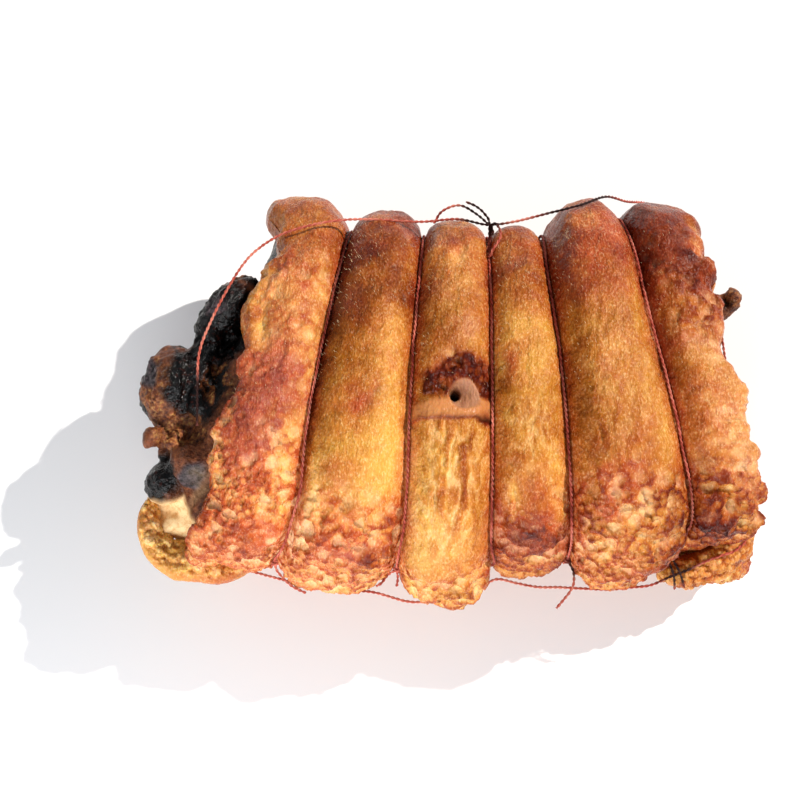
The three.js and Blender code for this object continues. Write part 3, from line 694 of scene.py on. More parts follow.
def make_piece(name, points, faces, values, material, node, cut=None):
    """A mesh object from points in millimetres, which stands for a CAD node and takes a slot's finish."""
    mesh = bpy.data.meshes.new(name)
    placed = (np.asarray(points) + SHIFT) * MM
    mesh.from_pydata(placed.tolist(), [], faces)
    mesh.update()
    for key, value in values.items():
        mesh.attributes.new(key, "FLOAT", "POINT").data.foreach_set("value", value.astype(np.float32))
    mesh.shade_smooth()
    if cut is not None:
        ends = np.zeros(2 * len(mesh.edges), np.int32)
        mesh.edges.foreach_get("vertices", ends)
        sharp = cut[ends.reshape(-1, 2)].all(1)
        mesh.attributes.new("sharp_edge", "BOOLEAN", "EDGE").data.foreach_set("value", sharp)
    piece = bpy.data.objects.new(name, mesh)
    bpy.context.scene.collection.objects.link(piece)
    piece.data.materials.append(material)
    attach(piece, "root")
    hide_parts(node)
    return piece


# ---------------------------------------------------------------- the rolls along the lower leaf

def resampled(points, step):
    """Points step apart along a smooth curve through the given points, and the share of the way for each."""
    known = np.asarray(points, float)
    padded = np.concatenate([[2 * known[0] - known[1]], known, [2 * known[-1] - known[-2]]])
    t = np.linspace(0, 1, 24, endpoint=False)[:, None]
    parts = []
    for a, b, c, d in zip(padded, padded[1:], padded[2:], padded[3:]):
        parts.append(0.5 * (2 * b + (c - a) * t + (2 * a - 5 * b + 4 * c - d) * t ** 2
                            + (3 * b - 3 * c + d - a) * t ** 3))
    dense = np.concatenate(parts + [known[-1:]])
    walked = np.concatenate([[0], np.cumsum(np.linalg.norm(np.diff(dense, axis=0), axis=1))])
    count = max(3, math.ceil(walked[-1] / step))
    wanted = np.linspace(0, walked[-1], count + 1)
    line = np.stack([np.interp(wanted, walked, dense[:, axis]) for axis in range(3)], -1)
    return line, wanted / walked[-1]


def capped_rings(rings):
    """Faces of a tube through rings of points (rings, sides), with its two ends closed."""
    count, sides = rings
    ids = np.arange(count * sides).reshape(count, sides)
    faces = grid_faces(np.concatenate([ids, ids[:, :1]], 1))
    return faces + [ids[0].tolist(), ids[-1, ::-1].tolist()]


def make_roll(name, roll, seed, sizes, material):
    """A roll of puffed skin: beaded outside, with a smoother, steeper side towards the meat."""
    line, share = resampled(roll["path"], sizes.mesh_step / MM)
    tangent = np.gradient(line, axis=0)
    side = np.cross(tangent, (0, 0, 1))
    side = side / np.linalg.norm(side, axis=1, keepdims=True)
    taper = np.sqrt(np.clip(1 - np.abs(2 * share - 1) ** ROLL_TAPER_POWER, 0, 1)) + 1e-3
    places = np.linspace(0, 1, len(roll["width"]))
    width, height = (np.interp(share, places, roll[key]) * taper for key in ("width", "height"))
    turn = np.linspace(0, 2 * math.pi, 80, endpoint=False)
    cos, sin = np.cos(turn)[None, :], np.sin(turn)[None, :]
    towards_meat = np.cross(line[-1] - line[0], (0, 0, 1.0)) @ (line.mean(0) - line[0]) > 0
    cos = -cos if towards_meat else cos
    inward = np.where(cos < 0, 0.72, 1.0)
    out = (width[:, None] * cos * inward * (1 + 0.25 * sin * (cos < 0)))[..., None]
    points = line[:, None] + side[:, None] * out + np.array([0, 0, 1.0]) * (height[:, None] * sin)[..., None]
    ring = np.concatenate([points[:, -1:], points, points[:, :1]], 1)
    normals = np.cross(np.gradient(ring, axis=0), np.gradient(ring, axis=1))[:, 1:-1]
    normals = normals / np.maximum(np.linalg.norm(normals, axis=-1, keepdims=True), 1e-9)
    outside = np.sign((normals * (points - line[:, None])).sum(-1).mean())
    inner_side = smoothstep(-cos + 0 * points[..., 0], 0.25, 0.75)
    beads = domes_of(*bubbles(points, 6.0, seed), bubbles(points, 3.1, seed + 1)[0], 1.1, 0.85)
    bubbled = 1 - 0.85 * inner_side
    lumps = bubbled * sizes.blister_height / MM * (beads - 0.4) + 1.1 * noise(points, 11, seed + 2)
    fade = np.minimum(taper * 1.3, 1)[:, None]
    points = points + normals * outside * (lumps * fade)[..., None]
    # Between the blisters the roll is painted darker and redder: painted shade.
    cleft = bubbled * between_blisters(beads)
    browned, reddened = (np.interp(share, (0.25, 0.6), roll[key])[:, None] for key in ("brown", "red"))
    values = {
        "browning": browned + 0.16 * inner_side + 0.14 * cleft + 0.06 * noise(points, 5, seed + 3),
        "redness": reddened + 0.2 * inner_side + 0.3 * cleft + 0.2 * noise(points, 7, seed + 4),
        # Blister tops are painted paler: painted highlight.
        "pale": 0.5 * bubbled * smoothstep(beads, 0.5, 1.0),
        "shine": 0.5 * inner_side,
        "grit": 0.2 + 0.2 * bubbled,
        "bubbled": bubbled,
    }
    shape = points.shape[:2]
    values = {key: np.clip(np.broadcast_to(value, shape), 0, 1).ravel() for key, value in values.items()}
    faces = capped_rings(points.shape[:2])
    if outside < 0:
        faces = [face[::-1] for face in faces]
    return make_piece(name, points.reshape(-1, 3), faces, values, material, "skin")


# ---------------------------------------------------------------- the meat

MEAT_CUT_LEFT, MEAT_CUT_RIGHT = -70.0, 96.0
MEAT_LAYER = 14.0
# The right end is smoother, so its mesh is so many times coarser than the charred end's.
SMOOTHER_END = 1.6
MEAT_VALUES = ("char", "crumb", "ashen", "fat", "gloss", "crevice")
# Burnt scraps on the left end: a seed, how many, where they lie, how far they spread, their sizes.
SCRAPS = (
    (1, 34, (-112, 26, 84), (9, 11, 7), (2.2, 4.8)),
    (2, 24, (-110, 2, 85), (6, 9, 5), (1.8, 3.6)),
    (3, 12, (-136, 2, 72), (5, 11, 6), (2.5, 4.5)),
    (4, 18, (-126, -22, 77), (9, 8, 5), (3.5, 6.0)),
    (5, 8, (-119, -39, 80), (6, 5, 4), (3.0, 5.0)),
    (6, 8, (-98, 46, 92), (5, 5, 4), (2.5, 4.5)),
    (7, 8, (-121, 4, 84), (7, 12, 3), (6.0, 9.0)),
    (8, 6, (-137, -41, 74), (5, 5, 4), (3.0, 5.0)),
    (10, 14, (-111, 20, 78), (8, 9, 4), (6.0, 9.5)),
    (11, 13, (-131, -56, 57), (9, 7, 3), (5.5, 8.5)),
    (12, 6, (-133, -21, 74), (5, 5, 3), (4.0, 6.5)),
    (13, 6, (-106, 26, 74), (3, 4, 4), (5.0, 7.0)),
    (14, 6, (-128, -63, 54), (4, 2, 2), (4.0, 6.0)),
)
# Places on the meat: field, centre, reach. A field is the largest of its places.
MEAT_PLACES = (
    ("char", (-108, 30, 90), (20, 18, 24)), ("char", (-119, 2, 90), (16, 21, 20)),
    ("char", (-137, -42, 76), (12, 12, 13)), ("char", (-131, 26, 76), (7, 6, 14)),
    ("char", (-146, 6, 70), (6, 9, 14)), ("char", (-90, 60, 90), (20, 14, 30)),
    ("gloss", (-119, 4, 92), (15, 19, 14)), ("gloss", (-138, -42, 80), (10, 9, 10)),
    ("crumb", (-108, -2, 86), (8, 12, 12)), ("crumb", (-141, -2, 80), (8, 19, 18)),
    ("crumb", (-126, -22, 80), (15, 9, 14)), ("crumb", (-100, 56, 92), (5, 5, 7)),
    ("ashen", (-119, -40, 84), (7, 7, 8)), ("ashen", (-113, 36, 96), (7, 6, 5)),
    ("char", (-126, 34, 52), (12, 22, 26)), ("char", (-126, -6, 40), (14, 18, 16)),
    ("crumb", (-124, 8, 56), (16, 34, 12)), ("char", (-120, 62, 62), (14, 12, 20)),
    ("fat", (-126, -54, 60), (22, 16, 14)), ("fat", (-126, -62, 56), (26, 13, 14)),
    ("crumb", (135, 46, 76), (9, 8, 9)), ("char", (129, 42, 82), (5, 3, 3)),
    ("crumb", (137, 48, 75), (3, 3, 4)), ("crumb", (128, 39, 75), (4, 3, 4)),
    ("ashen", (-141, 5, 83), (6, 8, 10)), ("char", (-147, -10, 70), (6, 8, 10)),
)


def cad_part(node, low, high):
    """The CAD node's solid between two places along X, in millimetres, as a bmesh whose cuts are closed."""
    bm = bmesh.new()
    bm.from_mesh(frame["nodes"][node].data)
    bmesh.ops.remove_doubles(bm, verts=bm.verts, dist=1e-6)
    for place, direction in ((low, -1), (high, 1)):
        if place is None:
            continue
        geometry = bm.verts[:] + bm.edges[:] + bm.faces[:]
        at = ((place + SHIFT[0]) * MM, 0, 0)
        cut = bmesh.ops.bisect_plane(
            bm, geom=geometry, plane_co=at, plane_no=(direction, 0, 0), clear_outer=True,
        )
        edges = [item for item in cut["geom_cut"] if isinstance(item, bmesh.types.BMEdge)]
        bmesh.ops.holes_fill(bm, edges=edges)
    return bm


def voxel_mesh(name, bm, voxel):
    """One closed mesh of even faces over everything in the bmesh."""
    mesh = bpy.data.meshes.new(name)
    bm.to_mesh(mesh)
    bm.free()
    holder = bpy.data.objects.new(name, mesh)
    bpy.context.scene.collection.objects.link(holder)
    remesh = holder.modifiers.new("even", "REMESH")
    remesh.mode = "VOXEL"
    remesh.voxel_size = voxel
    smooth = holder.modifiers.new("soft", "SMOOTH")
    smooth.factor = 0.5
    smooth.iterations = 3
    depsgraph = bpy.context.evaluated_depsgraph_get()
    made = bpy.data.meshes.new_from_object(holder.evaluated_get(depsgraph))
    bpy.data.objects.remove(holder)
    bpy.data.meshes.remove(mesh)
    return made


def mesh_points(mesh):
    """A mesh's points in millimetres in the drawing frame, and its normals."""
    points, normals = np.zeros(3 * len(mesh.vertices)), np.zeros(3 * len(mesh.vertices))
    mesh.vertices.foreach_get("co", points)
    mesh.vertices.foreach_get("normal", normals)
    return points.reshape(-1, 3) / MM - SHIFT, normals.reshape(-1, 3)


def mesh_faces(mesh):
    return [tuple(polygon.vertices) for polygon in mesh.polygons]


def meat_values(points):
    """What the meat's material reads: how charred, crumbly, ashen, fat and glossy it is at each point."""
    values = {}
    warped = points + 2.5 * np.stack([noise(points, 6, s) for s in (301, 302, 303)], -1)
    for name, centre, reach in MEAT_PLACES:
        away = (((warped - np.array(centre)) / np.array(reach)) ** 2).sum(-1)
        here = 1 - smoothstep(away, 0.7, 1.5)
        values[name] = np.maximum(values.get(name, 0), here)
    values["char"] = values["char"] * (1 - 0.9 * values["crumb"] * (noise(points, 3.2, 304) > 0))
    values["char"] = values["char"] * (1 - values["fat"])
    return values


def layers(points):
    """Where soft fat shows between the layers of the meat, from 0 to 1: short, broken streaks."""
    warped = points + 9 * np.stack([noise(points, 26, s) for s in (321, 322, 323)], -1)
    across, up = warped[:, 1], warped[:, 2] - MIDDLE_HEIGHT
    streaks = smoothstep(np.cos(2 * math.pi * np.hypot(0.75 * across, up) / MEAT_LAYER), 0.5, 1.0)
    return streaks * smoothstep(noise(points, 18, 324), -0.1, 0.5)


def make_meat_end(name, low, high, voxel, scraps, material):
    """One end of the meat, craggy where it burnt."""
    bm = cad_part("meat", low, high)
    for seed, count, centre, spread, size in scraps:
        draw = np.random.default_rng(seed)
        for _ in range(count):
            at = (np.array(centre) + draw.normal(0, 0.55, 3) * spread + SHIFT) * MM
            radii = draw.uniform(*size) * draw.uniform(0.55, 1.1, 3) * MM
            turn = Vector(draw.uniform(0, 1, 3)).to_track_quat("Z", "Y")
            placed = Matrix.LocRotScale(Vector(at), turn, Vector(radii))
            bmesh.ops.create_icosphere(bm, subdivisions=2, radius=1.0, matrix=placed)
    mesh = voxel_mesh(name, bm, voxel)
    points, normals = mesh_points(mesh)
    faces = mesh_faces(mesh)
    bpy.data.meshes.remove(mesh)
    values = meat_values(points)
    fatty = layers(points) * (1 - np.clip(values["char"] + values["crumb"] + values["fat"], 0, 1))
    crust = np.clip(values["char"] + values["crumb"], 0, 1) * (1 - 0.75 * values["gloss"])
    ragged = bubbles(points, 3.4, 311)[0] + 0.6 * bubbles(points, 1.8, 312)[0] - 0.9
    faceted = np.abs(rough(points, 7, 313)) * 2.2 - 0.7
    fibrous = 0.35 * noise(points * (0.4, 0.4, 2.0), 3, 316) + 1.3 * noise(points, 13, 317)
    height = (
        0.9 * noise(points, 8, 314) + crust * (1.1 * ragged + faceted) + 0.2 * noise(points, 2.4, 315)
        + (1 - crust) * fibrous
        - 0.9 * fatty
    )
    values["fat"] = np.maximum(values["fat"], 0.28 * fatty * (0.7 + 0.6 * noise(points, 5, 318)))
    # Deep inside the roll the relief fades out, so that the three pieces of meat meet.
    showing = smoothstep(np.abs(points[:, 0] - 10), 92, 104)
    points = points + normals * (height * showing)[:, None]
    values["crevice"] = np.clip(0.45 - ragged, 0, 1)
    values["gloss"] = np.maximum(values["gloss"], 0.7 * values["char"])
    return make_piece(name, points, faces, values, material, "meat")


def make_meat_middle(material):
    """The meat inside the roll, as the CAD has it."""
    bm = cad_part("meat", MEAT_CUT_LEFT, MEAT_CUT_RIGHT)
    mesh = bpy.data.meshes.new("middle")
    bm.to_mesh(mesh)
    bm.free()
    points, _ = mesh_points(mesh)
    faces = mesh_faces(mesh)
    bpy.data.meshes.remove(mesh)
    values = {name: np.zeros(len(points)) for name in MEAT_VALUES}
    return make_piece("meat_middle", points, faces, values, material, "meat")


# ---------------------------------------------------------------- the twine

LONG_TWINE = (
    (-118, -21, 93), (-118, -4, 97), (-117, 12, 101), (-111, 28, 103.5), (-102, 46, 104.5),
    (-94, 58, 104), (-83, 67, 103), (-72, 70.5, 105.5), (-58, 74, 105.2), (-42, 76, 103), (-16, 75.5, 101),
    (2, 77, 100.5), (16, 75, 98.5), (28, 76, 99.5), (43, 79.5, 100.5), (59, 82.8, 103.4), (72.5, 90.5, 95),
    (84, 92.5, 84), (95, 97.2, 70), (107, 97.2, 60), (115, 90, 57.5), (121, 76, 57), (126, 60, 57),
    (131, 40, 57), (134, 14, 55.5), (137, -8, 56), (139.5, -30, 57.5), (140.5, -48, 60.5), (140, -60, 62.8),
    (137.3, -68.5, 61.2), (132, -73.4, 60.8), (126, -75.5, 60.5), (119, -78, 60), (110, -82, 58.5),
    (102, -85, 57), (93, -88.5, 53.5), (84, -89.2, 51), (74, -90, 50), (62, -89.6, 50), (50, -89, 50),
    (40, -89, 51), (30, -87.5, 53), (20, -86, 55), (12, -90.5, 50.5), (3, -93.5, 47), (-8, -94.8, 46),
    (-21, -95.5, 48), (-38, -91, 48), (-55, -89.5, 46.5), (-67, -88, 46.5), (-80.5, -85, 47),
    (-92, -81.5, 44), (-100, -79, 43), (-106, -77, 43),
)
# Knots, by tie: the angle where each is tied, and the loose ends that leave it.
TIES = (
    (0, (((-82, -83.5, 60.5), (-76, -89.5, 59), (-69, -93, 58.5)),)),
    (0, (((-31, -85, 60), (-33.5, -88.5, 61), (-36, -90, 60)), ((-26, -86, 60), (-26.5, -89.5, 57)))),
    (142, (
        ((19, 73, 92), (17.5, 76, 94), (11, 81, 97), (3, 84.5, 99), (-5, 82, 98), (-9, 77, 95)),
        ((17, 76, 98), (15, 80, 99), (11, 83.5, 100), (6, 85.5, 101)),
        ((18.5, 74.8, 99), (21, 72.5, 102), (21.8, 68, 104.5), (20.6, 64, 105.6), (18.2, 60.5, 105),
         (16.9, 57.5, 103)),
    )),
    (0, (((56, -84, 62), (55.2, -91, 60), (48, -100, 57)),)),
    (0, (
        ((101, -80, 62.5), (103, -85.5, 60.5), (104, -90.5, 55)),
        ((103, -79, 62.5), (106, -84.5, 61), (108.5, -90, 55.5)),
    )),
)
# How far the ties lie above their grooves, how far a knot stands out from its tie, and how large it is.
TWINE_LIFT = 0.9
KNOT_STANDS_OUT = 1.012
KNOT_SIZE = 1.5
# Where a ply runs and how thick it is, as shares of the twine's diameter, and how many sides it has.
PLY_OFFSET, PLY_RADIUS, PLY_SIDES = 0.23, 0.25, 6
# Where the twine is blackened: centre and reach.
SCORCHED = (
    ((14, 79, 98), 15), ((-118, -10, 95), 16), ((104, -82, 62), 13),
    ((58, -82, 66), 8), ((-2, -92, 48), 7), ((58, 88, 98), 26),
)


def twisted(line, reference, sizes, turns_round=False):
    """Two plies wound round a line of points: their points, faces and the number of each point's ply."""
    diameter = sizes.twine_diameter / MM
    step = np.linalg.norm(np.diff(line, axis=0), axis=1)
    walked = np.concatenate([[0], np.cumsum(step)])
    turns = walked[-1] / (sizes.twist_length / MM)
    turns = round(turns) if turns_round else turns
    tangent = np.gradient(line, axis=0)
    tangent = tangent / np.linalg.norm(tangent, axis=1, keepdims=True)
    side = np.cross(tangent, reference)
    side = side / np.maximum(np.linalg.norm(side, axis=1, keepdims=True), 1e-6)
    up = np.cross(side, tangent)
    around = np.linspace(0, 2 * math.pi, PLY_SIDES, endpoint=False)
    points, faces, plies = [], [], []
    for ply in range(2):
        turn = 2 * math.pi * turns * walked / walked[-1] + ply * math.pi
        offset = PLY_OFFSET * diameter * (np.cos(turn)[:, None] * side + np.sin(turn)[:, None] * up)
        radius = PLY_RADIUS * diameter * (1 + 0.12 * noise(line, 1.7, 401 + ply))[:, None, None]
        ring = (np.cos(around)[None, :, None] * side[:, None]
                + np.sin(around)[None, :, None] * up[:, None])
        ids = capped_rings((len(line), PLY_SIDES))
        first = sum(len(p) for p in points)
        faces += [tuple(first + i for i in face) for face in ids]
        points.append((line[:, None] + offset[:, None] + radius * ring).reshape(-1, 3))
        plies.append(np.full(len(line) * PLY_SIDES, float(ply)))
    return np.concatenate(points), faces, np.concatenate(plies)


def knot_line(centre, size):
    """A small overhand knot pulled tight, as a closed line."""
    t = np.linspace(0, 2 * math.pi, 60)
    across = (2 + np.cos(3 * t)) * size / 3
    loop = np.stack([across * np.cos(2 * t), across * np.sin(2 * t) * 0.8, size * 0.45 * np.sin(3 * t)], -1)
    return loop + centre


def make_twine(name, lines, node, sizes, material):
    """One piece of twine from several twisted lines."""
    points, faces, plies = [], [], []
    for line, reference, closed in lines:
        made, its_faces, ply = twisted(line, reference, sizes, closed)
        first = sum(len(p) for p in points)
        faces += [tuple(first + i for i in face) for face in its_faces]
        points.append(made)
        plies.append(ply)
    points = np.concatenate(points)
    burnt = np.zeros(len(points))
    for centre, reach in SCORCHED:
        away = np.linalg.norm(points - np.array(centre), axis=1) / reach
        burnt = np.maximum(burnt, 1 - smoothstep(away, 0.5, 1.1))
    values = {"ply": np.concatenate(plies), "scorch": burnt}
    return make_piece(name, points, faces, values, material, node)


def tie_line(tie, sizes):
    """The ring of a tie in its groove."""
    angles = np.linspace(0, 360, 721)
    wrapped = np.where(angles > SEAM_LOWER_EDGE, angles - 360, angles)
    lift = sizes.twine_diameter / MM / 2 + TWINE_LIFT

    def half(side, lobe, share):
        return outer_half(side, lobe, share) + lift
    line = oval_point(half, tie, 0.0, wrapped)
    line[:, 0] += 0.35 * noise(line, 12, 421 + tie)
    return line


# ---------------------------------------------------------------- singed bristles

# A bristle is three-sided: its corners in radians, its tip's share of its root's width, and how many
# millimetres of it are sunk in the skin.
BRISTLE_CORNERS = (0, 2.1, 4.2)
BRISTLE_TIP = 0.35
BRISTLE_SUNK = 0.3


def make_bristles(sizes, material):
    """Short pale bristles that stand in the smooth skin at the top and upper back of the lobes."""
    roots, ways, chances = [], [], []
    for lobe in range(LOBES):
        mesh = bpy.data.objects[f"crackling_lobe_{lobe + 1}"].data
        points, normals = mesh_points(mesh)
        fuzz = np.zeros(len(points))
        mesh.attributes["fuzz"].data.foreach_get("value", fuzz)
        low = 0.35 if lobe in (0, 5) else 1.0
        roots.append(points)
        ways.append(normals)
        chances.append(fuzz * low * (0.5 + 0.5 * noise(points, 14, 501)))
    roots, ways, chance = np.concatenate(roots), np.concatenate(ways), np.concatenate(chances)
    draw = np.random.default_rng(7)
    count = sizes.bristles
    chosen = draw.choice(len(roots), count, replace=False, p=chance / chance.sum())
    comb = np.array([-0.45, 0.55, 0.35])
    way = 0.55 * ways[chosen] + comb + draw.normal(0, 0.16, (count, 3))
    way = way / np.linalg.norm(way, axis=1, keepdims=True)
    length = sizes.bristle_length / MM * draw.uniform(0.55, 1.2, (count, 1))
    radius = sizes.bristle_width / MM / 2
    side = np.cross(way, (1, 0, 0))
    side = side / np.linalg.norm(side, axis=1, keepdims=True)
    other = np.cross(way, side)
    root = roots[chosen] - BRISTLE_SUNK * ways[chosen]
    corners, tips = [], []
    for turn in BRISTLE_CORNERS:
        out = math.cos(turn) * side + math.sin(turn) * other
        corners.append(root + radius * out)
        tips.append(root + way * length + BRISTLE_TIP * radius * out)
    points = np.stack(corners + tips, 1).reshape(-1, 3)
    faces = []
    for i in range(0, 6 * count, 6):
        faces += [(i, i + 1, i + 4, i + 3), (i + 1, i + 2, i + 5, i + 4), (i + 2, i, i + 3, i + 5)]
        faces += [(i + 2, i + 1, i), (i + 3, i + 4, i + 5)]
    return make_piece("singed_bristles", points, faces, {}, material, "skin")


# ---------------------------------------------------------------- materials

def add_node(tree, kind, settings=None, links=None):
    """Adds a node, gives its properties, inputs or colour stops their settings, and links its inputs."""
    node = tree.nodes.new(kind)
    for name, value in (settings or {}).items():
        if name == "stops":
            while len(node.color_ramp.elements) < len(value):
                node.color_ramp.elements.new(0.5)
            for element, (place, colour) in zip(node.color_ramp.elements, value):
                element.position, element.color = place, colour
        elif isinstance(name, int) or name in node.inputs:
            node.inputs[name].default_value = value
        else:
            setattr(node, name, value)
    for name, socket in (links or {}).items():
        tree.links.new(socket, node.inputs[name])
    return node


# The sockets of a Mix node that mixes colours, by number, as their names aren't unique.
MIX_FACTOR, MIX_A, MIX_B, MIX_OUT = 0, 6, 7, 2


def new_material(name):
    """An empty material and its node tree."""
    material = bpy.data.materials.new(name)
    material.use_nodes = True
    material.node_tree.nodes.clear()
    return material, material.node_tree


def per_metre(size_mm):
    """A texture's scale for a pattern that repeats about every size_mm."""
    return 1000 / size_mm


def crackling_material(colours):
    """Roast pork crackling: dried skin puffed by its own steam and basted with its fat.

    The eye gets a finely mottled gold to red brown and a broken oily gloss of many small glints. Blister
    tops, ridges and flecks on the grain are painted paler as painted highlight, and clefts and grooves are
    painted darker and redder as painted shade.
    """
    material, tree = new_material("roast_pork_crackling")
    place = add_node(tree, "ShaderNodeTexCoord").outputs["Object"]
    read = {name: add_node(tree, "ShaderNodeAttribute", {"attribute_name": name}).outputs["Fac"]
            for name in ("browning", "redness", "bruise", "pale", "shine", "char", "band", "wall", "grit",
                         "bubbled")}
    # The grain is drawn out round the roll.
    drawn = add_node(tree, "ShaderNodeMapping", {"Scale": (1.0, 0.55, 0.55)}, {"Vector": place}).outputs[0]
    fine = add_node(tree, "ShaderNodeTexNoise", {"Scale": per_metre(0.85), "Detail": 2.0, "Roughness": 0.6},
                    {"Vector": drawn}).outputs["Fac"]
    grainy = add_node(tree, "ShaderNodeTexNoise", {"Scale": per_metre(2.6), "Detail": 3.0, "Roughness": 0.6},
                      {"Vector": drawn}).outputs["Fac"]
    patchy = add_node(tree, "ShaderNodeTexNoise", {"Scale": per_metre(8), "Detail": 3.0},
                      {"Vector": place}).outputs["Fac"]
    # Small blisters are domes about three millimetres apart. Their tops are painted lighter as painted
    # highlight, so they look darker where they meet.
    bent = add_node(tree, "ShaderNodeTexNoise", {"Scale": per_metre(3.5), "Detail": 2.0}, {"Vector": place})
    bent = add_node(tree, "ShaderNodeVectorMath", {"operation": "MULTIPLY_ADD", 1: (0.0022,) * 3},
                    {0: bent.outputs["Color"], 2: place})
    cells = add_node(tree, "ShaderNodeTexVoronoi", {"Scale": per_metre(3.2), "Randomness": 1.0},
                     {"Vector": bent.outputs[0]})
    away = add_node(tree, "ShaderNodeMath", {"operation": "POWER", 1: 2.0}, {0: cells.outputs["Distance"]})
    dome = add_node(tree, "ShaderNodeMath", {
        "operation": "MULTIPLY_ADD", 1: -2.0, 2: 1.0, "use_clamp": True,
    }, {0: away.outputs[0]})
    dome = add_node(tree, "ShaderNodeMath", {"operation": "MULTIPLY"},
                    {0: dome.outputs[0], 1: read["bubbled"]}).outputs[0]
    tone = add_node(tree, "ShaderNodeMath", {"operation": "MULTIPLY_ADD", 1: -0.15},
                    {0: dome, 2: read["browning"]})
    tone = add_node(tree, "ShaderNodeMath", {"operation": "MULTIPLY_ADD", 1: 0.04},
                    {0: read["bubbled"], 2: tone.outputs[0]}).outputs[0]
    speckled = add_node(tree, "ShaderNodeMath", {"operation": "MULTIPLY_ADD", 1: -0.50, 2: 0.25}, {0: fine})
    speckled = add_node(tree, "ShaderNodeMath", {"operation": "MULTIPLY"},
                        {0: speckled.outputs[0], 1: read["grit"]})
    mottled = add_node(tree, "ShaderNodeMath", {"operation": "MULTIPLY_ADD", 1: -0.24, 2: 0.12}, {0: grainy})
    for change in (speckled, mottled):
        tone = add_node(tree, "ShaderNodeMath", {"operation": "ADD"},
                        {0: tone, 1: change.outputs[0]}).outputs[0]
    # Pale spots and the painted highlight on blister tops and ridges lighten the tone.
    tone = add_node(tree, "ShaderNodeMath", {"operation": "MULTIPLY_ADD", 1: -0.16},
                    {0: read["pale"], 2: tone}).outputs[0]
    gold = add_node(tree, "ShaderNodeValToRGB", {"stops": (
        (0.0, colours.gold_palest), (0.25, colours.gold_light), (0.45, colours.gold_middle),
        (0.62, colours.gold_brown), (0.80, colours.gold_dark), (1.0, colours.gold_burnt))}, {0: tone})
    red = add_node(tree, "ShaderNodeValToRGB", {"stops": (
        (0.0, colours.red_palest), (0.25, colours.red_light), (0.45, colours.red_middle),
        (0.62, colours.red_brown), (0.80, colours.red_dark), (1.0, colours.red_burnt))}, {0: tone})
    # Patches of redder skin, painted less red on blister tops as part of the same painted highlight.
    blushed = add_node(tree, "ShaderNodeMath", {"operation": "MULTIPLY_ADD", 1: 0.9, 2: -0.42}, {0: patchy})
    blushed = add_node(tree, "ShaderNodeMath", {"operation": "MULTIPLY_ADD", 1: -0.18},
                       {0: dome, 2: blushed.outputs[0]})
    blush = add_node(tree, "ShaderNodeMath", {"operation": "ADD", "use_clamp": True},
                     {0: read["redness"], 1: blushed.outputs[0]}).outputs[0]
    colour = add_node(tree, "ShaderNodeMix", {"data_type": "RGBA"}, {
        MIX_FACTOR: blush, MIX_A: gold.outputs[0], MIX_B: red.outputs[0]}).outputs[MIX_OUT]
    # The highest grains and the pale spots get cream flecks, most where the tone is light: painted glints.
    glint_flecks = add_node(tree, "ShaderNodeMapRange", {
        "From Min": 0.54, "From Max": 0.72, "To Min": 0.0, "To Max": 0.7,
    }, {"Value": fine})
    glint_flecks = add_node(tree, "ShaderNodeMath", {"operation": "ADD", "use_clamp": True},
                       {0: glint_flecks.outputs[0], 1: read["pale"]})
    on_light_tone = add_node(tree, "ShaderNodeMapRange", {
        "From Min": 0.75, "From Max": 0.25, "To Min": 0.0, "To Max": 0.5,
    }, {"Value": tone})
    painted_glints = add_node(tree, "ShaderNodeMath", {"operation": "MULTIPLY"},
                      {0: glint_flecks.outputs[0], 1: on_light_tone.outputs[0]})
    colour = add_node(tree, "ShaderNodeMix", {"data_type": "RGBA", MIX_B: colours.painted_glint}, {
        MIX_FACTOR: painted_glints.outputs[0], MIX_A: colour}).outputs[MIX_OUT]
    # Purple-grey marks, partly painted sheen, then the smooth band, the hole's wall, and the hole's opening
    # painted black as painted shade.
    for name, amount, over in (
        ("bruise", 0.62, colours.bruise), ("band", 0.80, colours.band),
        ("wall", 0.90, colours.hole_wall), ("char", 0.96, colours.char),
    ):
        share = add_node(tree, "ShaderNodeMath", {"operation": "MULTIPLY", 1: amount}, {0: read[name]})
        colour = add_node(tree, "ShaderNodeMix", {"data_type": "RGBA", MIX_B: over}, {
            MIX_FACTOR: share.outputs[0], MIX_A: colour}).outputs[MIX_OUT]
    gloss = add_node(tree, "ShaderNodeMapRange", {
        "From Min": 0.0, "From Max": 1.0, "To Min": 0.27, "To Max": 0.15,
    }, {"Value": read["shine"]}).outputs[0]
    roughness = add_node(tree, "ShaderNodeMath", {"operation": "MULTIPLY_ADD", 1: 0.30}, {0: fine, 2: gloss})
    roughness = add_node(tree, "ShaderNodeMath", {"operation": "SUBTRACT", 1: 0.15},
                         {0: roughness.outputs[0]})
    gritty = add_node(tree, "ShaderNodeMath", {"operation": "MULTIPLY"}, {0: fine, 1: read["grit"]})
    lumps = add_node(tree, "ShaderNodeBump", {"Strength": 1.0, "Distance": 0.0014}, {"Height": grainy})
    blisters = add_node(tree, "ShaderNodeBump", {"Strength": 1.0, "Distance": 0.0008},
                        {"Height": dome, "Normal": lumps.outputs[0]})
    bumps = add_node(tree, "ShaderNodeBump", {"Strength": 1.0, "Distance": 0.0009},
                     {"Height": gritty.outputs[0], "Normal": blisters.outputs[0]})
    shader = add_node(tree, "ShaderNodeBsdfPrincipled", {
        "IOR": 1.46, "Specular IOR Level": 0.17, "Subsurface Weight": 0.25,
        "Subsurface Radius": (1.0, 0.36, 0.08), "Subsurface Scale": 0.003,
    }, {"Base Color": colour, "Roughness": roughness.outputs[0], "Normal": bumps.outputs[0]})
    add_node(tree, "ShaderNodeOutputMaterial", links={"Surface": shader.outputs[0]})
    return material


